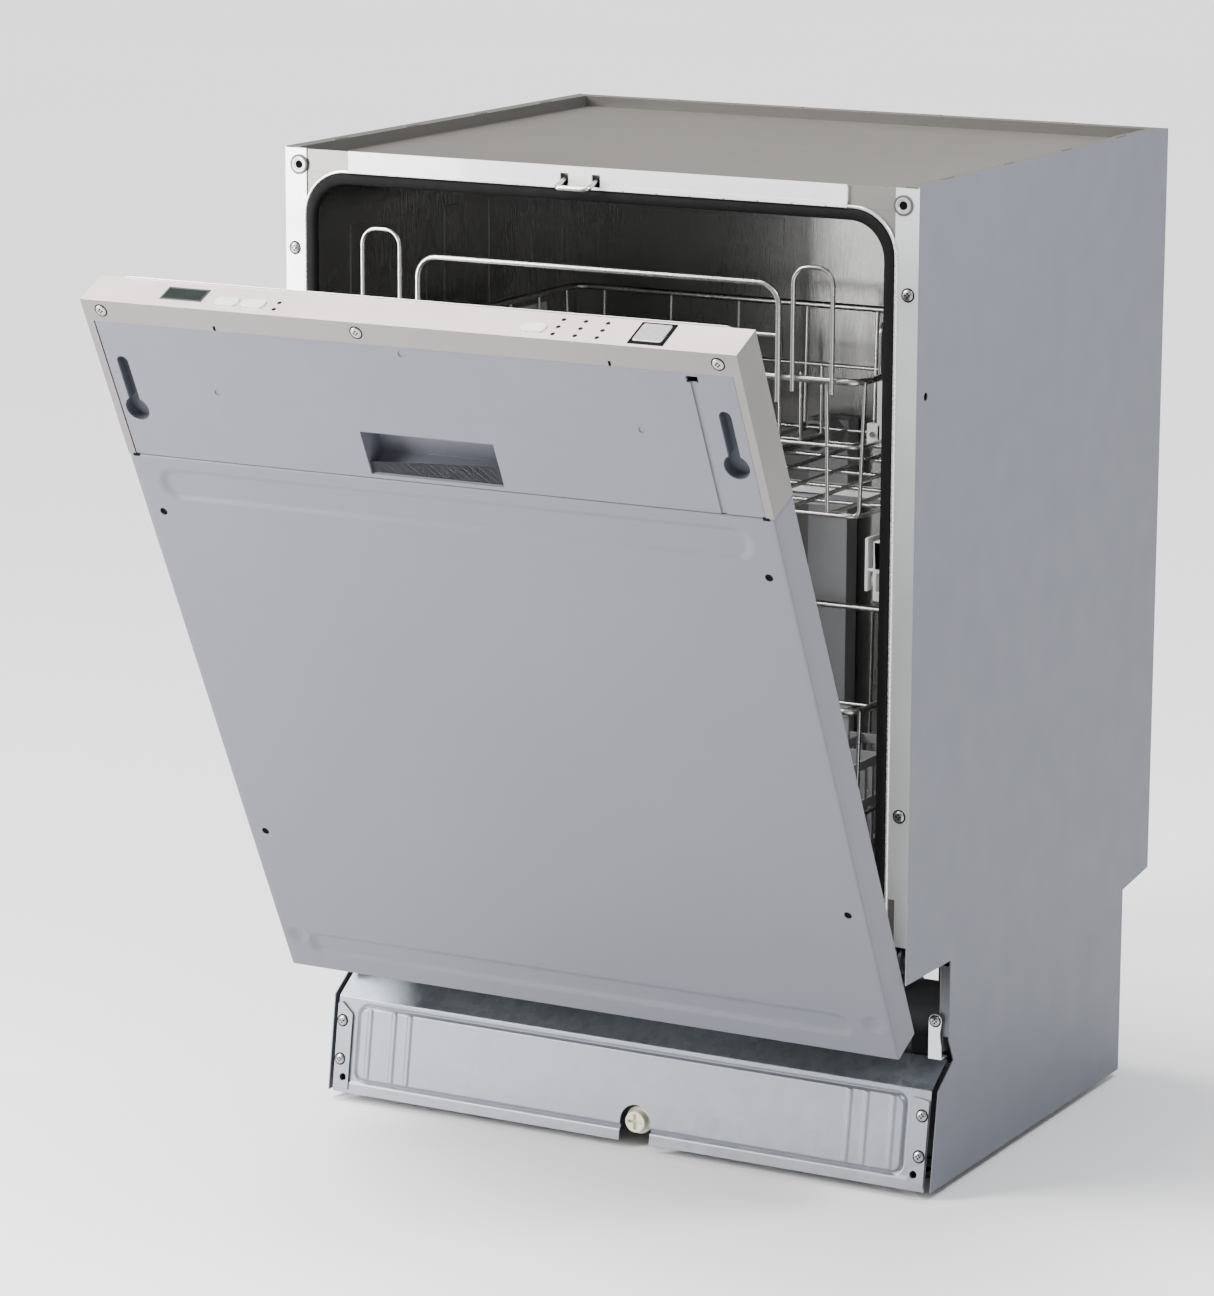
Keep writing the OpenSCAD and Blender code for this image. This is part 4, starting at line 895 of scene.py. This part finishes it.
def build_upper_basket():
    low, high = box_mm("upper_basket")
    y0, y1 = low.y, high.y
    bm = bmesh.new()
    floor_z, top_z = 588.0, 700.0
    shelf_wires(bm, y0, y1, floor_z, 646.0, top_z)
    for x in (-84.0, 42.0):
        tine_row(bm, x, y0 + 43.0, 42.0, 8, floor_z + 3.66, 655.0)
    piece = place_mesh(bm, "upper_basket_wires", "wire", "upper_rack", ["upper_basket"])
    keep_sharp(piece, 50.0)
    clips = bmesh.new()
    for y in (y0 + 55.0, y0 + 345.0):
        block(clips, 223.0, 236.0, y - 3.0, y + 3.0, 641.0, 659.0)
        block(clips, 232.0, 243.5, y - 3.0, y + 3.0, 641.0, 697.0)
    clip_piece = place_mesh(clips, "shelf_clips", "white", "upper_rack", ["upper_basket"], smooth=False)
    add_bevel(clip_piece, 1.2, 3)


def build_lower_basket():
    low, high = box_mm("lower_basket")
    y0, y1 = low.y, high.y
    bm = bmesh.new()
    floor_z, top_z = 245.0, 425.0
    shelf_wires(bm, y0, y1, floor_z, 335.0, top_z)
    tine_row(bm, -168.0, y0 + 33.0, 40.0, 9, floor_z + 3.66, 330.0)
    piece = place_mesh(bm, "lower_basket_wires", "wire", "lower_rack", ["lower_basket"])
    keep_sharp(piece, 50.0)
    clips = bmesh.new()
    for y in (y0 + 25.0, y0 + 359.0):
        block(clips, -86.0, -60.0, y - 3.0, y + 3.0, 247.0, 254.0)
        block(clips, -73.0, -60.0, y - 3.0, y + 3.0, 252.0, 262.0)
    for s in (-1, 1):
        for y in (y0 + 61.0, y0 + 333.0):
            block(clips, *sorted((s * 240.2, s * 245.0)), y - 14.0, y + 14.0, 217.0, 254.0)
            block(clips, *sorted((s * 236.0, s * 242.0)), y - 14.0, y + 14.0, 248.0, 254.0)
            cylinder(clips, (s * 231.6, y, 224.9), (s, 0, 0), 10.0, 3.0, 24)
    clip_piece = place_mesh(clips, "basket_clips", "pale_grey", "lower_rack", ["lower_basket"], smooth=False)
    add_bevel(clip_piece, 1.0, 3)


def front_loop(bm, x0, x1, y, z0, z1, bend, width):
    wire(bm, [(x0, y, z0), (x0, y, z1), (x1, y, z1), (x1, y, z0)], width, bend, 12)


def build_upper_handle():
    low, high = box_mm("upper_handle")
    y = (low.y + high.y) / 2
    bm = bmesh.new()
    front_loop(bm, -175.0, 168.0, y, 680.0, high.z - 22.5, 18.0, 5.0)
    front_loop(bm, -230.0, -193.0, y + 0.4, 690.0, high.z - 2.0, 14.0, 4.0)
    front_loop(bm, 181.0, 217.0, y + 0.4, 690.0, high.z - 7.0, 14.0, 4.0)
    wire(bm, [(-175.0, y, 735.0), (168.0, y, 735.0)], WIRE_WIDTH)
    piece = place_mesh(bm, "handle_wires", "wire", "upper_rack", ["upper_handle"])
    keep_sharp(piece, 50.0)


def build_cup_shelf():
    low, high = box_mm("cup_shelf")
    x, y0, y1 = (low.x + high.x) / 2, low.y, high.y
    bm = bmesh.new()
    wire(bm, [(x, y0, 650.0), (x, y1, 650.0)], 5.0, sides=12)
    wire(
        bm, [(x, y0 + 14.0, 650.0), (x, y0 + 14.0, 740.0), (x, y1 - 16.0, 740.0), (x, y1 - 16.0, 650.0)],
        WIRE_WIDTH, 9.0
    )
    for k in range(1, 6):
        wire(bm, [(x, y0 + 14.0 + 45.0 * k, 650.0), (x, y0 + 14.0 + 45.0 * k, 740.0)], WIRE_WIDTH)
    wire(bm, [(x, y0 + 14.0, 700.0), (x, y1 - 16.0, 700.0)], WIRE_WIDTH)
    piece = place_mesh(bm, "cup_shelf_wires", "wire", "cup_shelf", ["cup_shelf"])
    keep_sharp(piece, 50.0)


def build_folding_tines():
    low, high = box_mm("folding_tines")
    x, y0, y1 = (low.x + high.x) / 2, low.y, high.y
    bm = bmesh.new()
    wire(bm, [(x, y0, 256.0), (x, y1, 256.0)], 5.0, sides=12)
    for k in range(8):
        y = y0 + 28.0 + 41.0 * k
        wire(bm, [(x, y, 256.0), (x, y, high.z - 1.0)], WIRE_WIDTH)
        cylinder(bm, (x, y, high.z - 1.2), (0, 0, 1), 1.2, WIRE_WIDTH / 2, 10, WIRE_WIDTH / 3.2)
    piece = place_mesh(bm, "folding_tine_wires", "wire", "folding_tines", ["folding_tines"])
    keep_sharp(piece, 50.0)


def build_springs():
    bm = bmesh.new()
    for s in (-1, 1):
        x, z, y0, y1, turns = s * 283.0, 128.0, 132.0, 328.0, 26
        helix = [
            Vector(
                (
                    x + 7.0 * math.cos(math.tau * k / 12), y0 + (y1 - y0) * k / (12 * turns),
                    z + 7.0 * math.sin(math.tau * k / 12)
                )
            )
            for k in range(12 * turns + 1)
        ]
        sweep(bm, [Vector((x, y0 - 6.0, z)), Vector((x + 4.0, y0 - 1.5, z))] + helix
              + [Vector((x + 4.0, y1 + 1.5, z)), Vector((x, y1 + 8.0, z)), Vector((x, 357.0, z))], 1.5, 8)
        wire(bm, [(x, y0 - 5.0, z), (x, 106.0, z), (x, 106.0, 208.0)], 3.2, 8.0)
        cylinder(bm, (s * 280.2, 106.0, 212.0), (s, 0, 0), 8.4, 6.0, 28)
        block(bm, *sorted((s * 276.4, s * 289.8)), 356.0, 359.8, 118.4, 139.6)
    piece = place_mesh(bm, "spring_coils", "spring", "cabinet", ["balance_springs"])
    keep_sharp(piece, 45.0)


# ---------------------------------------------------------------- tub and mouth
TUB_HALF = 278.0
TUB_TOP = 845.0
TUB_LOW = 208.6
TUB_RADIUS = 38.0


def rounded_outline(x0, x1, z0, z1, radius, steps=10):
    """Points of a rounded rectangle, anticlockwise from its lower left corner."""
    made = []
    corners = ((x0 + radius, z0 + radius, 180.0), (x1 - radius, z0 + radius, 270.0),
               (x1 - radius, z1 - radius, 0.0), (x0 + radius, z1 - radius, 90.0))
    for x, z, start in corners:
        for step in range(steps + 1):
            angle = math.radians(start + 90.0 * step / steps)
            made.append((x + radius * math.cos(angle), z + radius * math.sin(angle)))
    return made


def skin(bm, sections, closed_ends=(False, False)):
    """Faces between rings of equal length."""
    rings = [[bm.verts.new(place) for place in ring] for ring in sections]
    count = len(rings[0])
    for first, second in zip(rings, rings[1:]):
        for k in range(count):
            bm.faces.new((first[k], first[(k + 1) % count], second[(k + 1) % count], second[k]))
    if closed_ends[0]:
        bm.faces.new(rings[0][::-1])
    if closed_ends[1]:
        bm.faces.new(rings[-1])
    return rings


def build_seal():
    """A soft black bulb that lines the mouth, with its inner lip."""
    bm = bmesh.new()
    middle = (TUB_TOP + TUB_LOW) / 2
    half_h = (TUB_TOP - TUB_LOW) / 2 - 0.3
    half_w = TUB_HALF - 0.3
    profile = [(0.0, 9.0), (0.0, 1.0), (0.6, -1.4), (2.2, -2.4), (4.7, -2.5), (7.0, -2.3), (8.7, -1.2),
               (9.4, 0.8), (9.2, 3.0), (7.6, 4.2), (6.0, 4.6), (6.0, 9.0)]
    sections = []
    for inset, y in profile:
        sections.append([
            (x, y, z) for x, z in rounded_outline(
                inset - half_w, half_w - inset,
                middle - half_h + inset, middle + half_h - inset, TUB_RADIUS - 0.3 - inset * 0.7)
        ])
    rings = skin(bm, sections)
    count = len(rings[0])
    for k in range(count):
        bm.faces.new((rings[-1][k], rings[-1][(k + 1) % count], rings[0][(k + 1) % count], rings[0][k]))
    piece = place_mesh(bm, "mouth_seal", "rubber", "cabinet", ["door_seal"])
    cutter = bmesh.new()
    block(cutter, -320.0, 320.0, -6.0, 3.2, TUB_LOW - 6.0, 222.0)
    cut_with(piece, cutter, "seal_cutter")
    keep_sharp(piece, 45.0)
    lip = bmesh.new()
    sections = []
    for outset, y in ((0.2, 1.3), (0.2, -0.6), (0.8, -1.1), (1.9, -1.1), (2.4, -0.6), (2.4, 1.3)):
        sections.append([
            (x, y, z) for x, z in rounded_outline(
                -TUB_HALF - outset, TUB_HALF + outset,
                TUB_LOW - outset, TUB_TOP + outset, TUB_RADIUS + outset)
        ])
    skin(lip, sections)
    lip_piece = place_mesh(lip, "mouth_lip", "edge_bright", "cabinet", ["door_seal"])
    thicken(lip_piece, -0.2)
    cutter = bmesh.new()
    block(cutter, -320.0, 320.0, -6.0, 6.0, TUB_LOW - 6.0, 240.0)
    cut_with(lip_piece, cutter, "lip_cutter")
    keep_sharp(lip_piece, 45.0)


# ---------------------------------------------------------------- screws and bushes
def frame_of(out, up):
    """Right, up and outward unit vectors on a face."""
    out = Vector(out).normalized()
    right = Vector(up).cross(out).normalized()
    return right, out.cross(right), out


def lathe(bm, place, out, profile, sides=28):
    """A solid of revolution from (radius, height) pairs; the ends are closed."""
    right, up, out = frame_of(out, (0.0, 0.35, 1.0))
    sections = [ring_of(Vector(place) + out * height, right, up, radius, sides) for radius, height in profile]
    skin(bm, sections, (True, True))


def cross_bars(bm, place, out, half_length, half_width, low, high, taper=1.0):
    """Two crossed bars on a face, from height low to height high; taper shortens them at the low end."""
    right, up, out = frame_of(out, (0.0, 0.35, 1.0))
    for along, across in ((right, up), (up, right)):
        ring = []
        for level, length in ((high, half_length), (low, half_length * taper)):
            for a, b in ((-1, -1), (1, -1), (1, 1), (-1, 1)):
                ring.append(
                    bm.verts.new(
                        Vector(place) + out * level + along * (a * length) + across * (b * half_width)
                    )
                )
        bm.faces.new(ring[:4])
        bm.faces.new(ring[4:][::-1])
        for k in range(4):
            bm.faces.new((ring[k], ring[(k + 1) % 4], ring[4 + (k + 1) % 4], ring[4 + k]))


def build_screws(name, places, body, node, turn=None):
    """Domed cross head screws with painted shade round each head and in its cross; each place is a point, its
    outward direction, a radius and a height.
    """
    heads, head_shade = bmesh.new(), bmesh.new()
    for place, out, radius, height in places:
        dome = [(radius, 0.0), (radius, height * 0.25)]
        dome += [
            (radius * math.cos(math.radians(a)), height * (0.25 + 0.75 * math.sin(math.radians(a))))
            for a in (20, 42, 62, 78)
        ]
        lathe(heads, place, out, dome)
        # Near-black painted shade: a ring just wider than each head, and a cross down in its recess.
        lathe(head_shade, place, out, [(radius + 1.1, 0.0), (radius + 1.1, 0.10), (radius - 1.0, 0.16)])
        cross_bars(head_shade, place, out, radius * 0.60, radius * 0.13, height * 0.20, height * 0.80)
    piece = place_mesh(heads, name, "screw", body, [node], turn=turn)
    place_mesh(head_shade, name + "_seats", "screw_shade", body, [node], turn=turn, smooth=False)
    cutter = bmesh.new()
    for place, out, radius, height in places:
        cross_bars(cutter, place, out, radius * 0.66, radius * 0.17, height * 0.25, height + 0.8, 0.6)
    cut_with(piece, cutter, name + "_cutter", turn)
    keep_sharp(piece, 32.0)


def build_cabinet_screws():
    front = (0.0, -1.0, 0.0)
    places = [((s * 290.0, 0.0, z), front, 4.8, 1.9) for s in (-1, 1) for z in (347.0, 778.0)]
    places += [(on_face(s * 287.0, up, 2.4), FACE_OUT, 4.6, 2.0) for s in (-1, 1) for up in (30.0, 65.0)]
    places += [((s * 287.0, 85.0, 150.0), front, 4.4, 1.8) for s in (-1, 1)]
    build_screws("cabinet_screw_heads", places, "cabinet", "cabinet_screws")


def build_door_screws():
    places = [((x, DOOR_FACE, DOOR_TOP - 9.6), (0.0, -1.0, 0.0), 4.8, 1.2) for x in (-279.0, -39.0, 279.0)]
    build_screws("door_screw_heads", places, "door", "door_screws", DOOR_TURN)


def build_fasteners():
    """Flanged bushes with a hexagon socket near the cabinet's top corners."""
    rims, discs, sockets = bmesh.new(), bmesh.new(), bmesh.new()
    front = (0.0, -1.0, 0.0)
    for s in (-1, 1):
        centre = (s * 285.0, 0.9, 850.0)
        lathe(rims, centre, front, [(8.5, 0.0), (8.5, 1.9), (8.1, 2.3), (7.1, 2.3), (7.1, 0.4)])
        lathe(
            discs, centre, front,
            [(7.0, 0.2), (7.0, 2.0), (6.6, 2.3), (4.9, 2.3), (4.4, 1.6), (3.6, 1.6), (3.6, 0.3)]
        )
        # A near-black hexagon in each bush's socket: painted shade inside the socket.
        lathe(sockets, centre, front, [(3.5, 0.1), (3.5, 1.2)], 6)
    rim = place_mesh(rims, "bush_rims", "dark", "cabinet", ["frame_fasteners"])
    disc = place_mesh(discs, "bush_discs", "bush", "cabinet", ["frame_fasteners"])
    for piece in (rim, disc):
        keep_sharp(piece, 30.0)
    place_mesh(sockets, "bush_socket_shade", "void", "cabinet", ["frame_fasteners"], smooth=False)


# ---------------------------------------------------------------- keyholes, the power button's painted gap shade and the corner blocks of the door's top
KEYHOLE = {"x": 274.0, "round": DOOR_TOP - 105.0, "top": DOOR_TOP - 59.0, "radius": 11.0, "slot": 5.2}


def keyhole_outline(side, grow):
    """Round opening with a slot that rises from it, on the door's left (-1) or right (1)."""
    made = []
    x, z_round, z_top = side * KEYHOLE["x"], KEYHOLE["round"], KEYHOLE["top"]
    big, small = KEYHOLE["radius"] + grow, KEYHOLE["slot"] + grow
    join = math.degrees(math.asin(min(1.0, small / big)))
    for step in range(25):
        angle = math.radians(90.0 + join + (360.0 - 2.0 * join) * step / 24)
        made.append((x + big * math.cos(angle), z_round + big * math.sin(angle)))
    for step in range(13):
        angle = math.radians(180.0 * step / 12)
        made.append((x + small * math.cos(angle), z_top + small * math.sin(angle)))
    return made


def build_keyhole_cups():
    """Moulded pockets behind the two keyholes, with painted shade: the walls in a darker copy of the cover plastic
    and the floors near-black.
    """
    walls, floors = bmesh.new(), bmesh.new()
    for s in (-1, 1):
        rings = []
        for y, grow in ((DOOR_FACE + 1.6, 0.05), (DOOR_FACE + 9.0, -0.3)):
            rings.append([(x, y, z) for x, z in keyhole_outline(s, grow)])
        skin(walls, rings)
        plate(floors, keyhole_outline(s, 0.6), DOOR_FACE + 9.0, DOOR_FACE + 10.0)
    wall = place_mesh(walls, "keyhole_walls", "recess", "door", ["door_cover"], turn=DOOR_TURN)
    thicken(wall, -1.2)
    keep_sharp(wall, 40.0)
    place_mesh(floors, "keyhole_floors", "navy", "door", ["door_cover"], turn=DOOR_TURN, smooth=False)


def build_button_shade_and_blocks():
    """Near-black painted shade of the gap round the power button, and small near-black blocks at the cover's
    corners.
    """
    bm = bmesh.new()
    band, centre_x, centre_y = 2.9, 217.0, DOOR_FACE + 18.0
    x0, x1, y0, y1 = centre_x - 15.3, centre_x + 15.3, centre_y - 14.3, centre_y + 14.3
    for edge in (
        (x0, x1, y0, y0 + band), (x0, x1, y1 - band, y1), (x0, x0 + band, y0, y1), (x1 - band, x1, y0, y1)
    ):
        block(bm, *edge, DOOR_TOP - 0.2, DOOR_TOP + 0.7)
    for x in (-289.5, 289.5):
        block(bm, x - 3.0, x + 3.0, DOOR_FACE - 0.15, DOOR_FACE + 2.0, DOOR_SEAM - 1.6, DOOR_SEAM + 1.4)
    piece = place_mesh(
        bm, "button_gap_shade_and_corner_blocks", "screw_shade", "door", ["door_cover"], turn=DOOR_TURN,
        smooth=False
    )
    add_bevel(piece, 0.25, 2)


def build_cover():
    build_keyhole_cups()
    build_button_shade_and_blocks()
    softened("door_cover", 0.0008)


def build_cutlery_basket():
    """Six pockets with slotted walls and a raised grip."""
    low, high = box_mm("cutlery_basket")
    x0, x1, y0, y1, z0, z1 = low.x, high.x, low.y, high.y, low.z, low.z + 120.0
    bm = bmesh.new()
    block(bm, x0, x1, y0, y1, z0, z0 + 2.4)
    pitch = 44.7
    walls_x = [x0 + 1.0 + pitch * k for k in range(4)]
    for k, x in enumerate(walls_x):
        for n in range(9):
            y = y0 + 1.0 + (y1 - y0 - 2.0) * n / 8
            block(bm, x - 1.0, x + 1.0, y - 2.0 if n else y0, y + 2.0 if n < 8 else y1, z0 + 2.0, z1 - 2.0)
        for z in (z0 + 2.0, z0 + 40.0, z0 + 78.0, z1 - 8.0):
            block(bm, x - 1.1, x + 1.1, y0 + 0.1, y1 - 0.1, z, z + 8.0)
    for y in (y0 + 1.0, (y0 + y1) / 2, y1 - 1.0):
        for n in range(19):
            x = x0 + 2.5 + (x1 - x0 - 5.0) * n / 18
            block(bm, x - 1.8, x + 1.8, y - 1.0, y + 1.0, z0 + 2.0, z1 - 2.0)
        for z in (z0 + 2.0, z0 + 40.0, z0 + 78.0, z1 - 8.0):
            block(bm, x0 + 0.1, x1 - 0.1, y - 1.1, y + 1.1, z, z + 8.0)
    middle = (y0 + y1) / 2
    centre = (x0 + x1) / 2
    for side in (-1, 1):
        block(
            bm, centre + side * 34.0 - 4.0, centre + side * 34.0 + 4.0, middle - 1.6, middle + 1.6,
            z1 - 6.0, high.z - 3.0
        )
    block(bm, centre - 38.0, centre + 38.0, middle - 4.0, middle + 4.0, high.z - 8.0, high.z)
    piece = place_mesh(
        bm, "cutlery_basket_frame", "pale_grey", BODY_OF["cutlery_basket"], ["cutlery_basket"], smooth=False
    )
    add_bevel(piece, 0.45, 2)


# ---------------------------------------------------------------- small controls
def build_display():
    """Smoked glass in a narrow dark frame."""
    x0, x1, y0, y1 = -225.6, -186.4, DOOR_FACE + 10.0, DOOR_FACE + 27.0
    band, glass_low = 1.6, DOOR_TOP - 1.2
    bm = bmesh.new()
    block(bm, x0, x1, y0, y1, DOOR_TOP - 4.0, glass_low)
    for edge in (
        (x0, x0 + band, y0, y1), (x1 - band, x1, y0, y1), (x0, x1, y0, y0 + band), (x0, x1, y1 - band, y1)
    ):
        block(bm, *edge, glass_low - 0.5, DOOR_TOP + 0.28)
    piece = place_mesh(bm, "display_frame", "black", "door", ["display_window"], turn=DOOR_TURN, smooth=False)
    add_bevel(piece, 0.3, 2)
    glass = bmesh.new()
    block(
        glass, x0 + band - 0.1, x1 - band + 0.1, y0 + band - 0.1, y1 - band + 0.1, glass_low - 0.2,
        DOOR_TOP + 0.1
    )
    glass_piece = place_mesh(
        glass, "display_glass", "display", "door", ["display_window"], turn=DOOR_TURN, smooth=False
    )
    add_bevel(glass_piece, 0.3, 2)


BUILT = {
    "door_panel": build_door_panel, "plinth_panel": build_plinth, "plinth_brackets": build_plinth_brackets,
    "upper_basket": build_upper_basket, "lower_basket": build_lower_basket,
    "upper_handle": build_upper_handle,
    "cup_shelf": build_cup_shelf, "folding_tines": build_folding_tines, "balance_springs": build_springs,
    "cabinet_screws": build_cabinet_screws, "door_screws": build_door_screws,
    "frame_fasteners": build_fasteners, "door_cover": build_cover,
    "door_seal": build_seal, "cutlery_basket": build_cutlery_basket, "display_window": build_display,
}


make_camera()
make_studio()
SOFT = {
    "side_panel_left": 0.0003, "side_panel_right": 0.0003, "top_panel": 0.0003,
    "door_cover": 0.0008, "fascia": 0.0005, "door_liner": 0.0004, "tub": 0.0004,
    "power_button": 0.0009, "program_button": 0.0009, "option_button_a": 0.0009,
    "option_button_b": 0.0009, "dispenser_body": 0.0010, "dispenser_lid": 0.0008,
    "rinse_cap": 0.0012, "top_trim": 0.0006, "rail_stops": 0.0010, "upper_slides": 0.0006,
    "lower_spray_arm": 0.0015, "upper_spray_arm": 0.0015,
    "rear_foot_adjuster": 0.0008, "front_foot_left": 0.0010, "front_foot_right": 0.0010,
    "rear_foot": 0.0010, "hinge_brackets": 0.0004, "door_hinge_arms": 0.0004,
    "back_panel": 0.0003, "base_tray": 0.0008, "feed_pipe": 0.0015, "filter_cup": 0.0010,
}


def on_strip(polygon):
    """Faces of a side panel's front strip, which is bare steel."""
    return abs(polygon.center.x) < 0.2978 and polygon.center.y < 0.0012


def on_rim(polygon):
    """Upper edge and walls of the top panel's raised rim."""
    return polygon.center.z > 0.8552


def on_flange(polygon):
    """Faces of the tub's flange that look forward beside the mouth."""
    return polygon.center.y < 0.0025 and abs(polygon.normal.y) > 0.9


def on_cheek(polygon):
    """Outer side faces of the control panel's cheeks."""
    return abs(polygon.normal.x) > 0.7


def on_lip(polygon):
    """Faces of the control panel that look forward, not up."""
    normal = DOOR_TURN.to_3x3().inverted() @ polygon.normal
    return normal.y < -0.7


# The fascia's forward and side faces get the darker copy of its steel: painted shade chosen by which way a face
# looks.
REGIONS = {
    "side_panel_left": (("strip", on_strip),), "side_panel_right": (("strip", on_strip),),
    "top_panel": (("rim_sheet", on_rim),), "tub": (("flange", on_flange),), "fascia": (
        ("fascia_shade_copy", on_lip), ("fascia_shade_copy", on_cheek)
    ),
}
for node_name in frame["nodes"]:
    if node_name in BUILT:
        BUILT[node_name]()
    elif node_name in SOFT:
        softened(node_name, SOFT[node_name], regions=REGIONS.get(node_name, ()))
    else:
        paint_node(node_name)
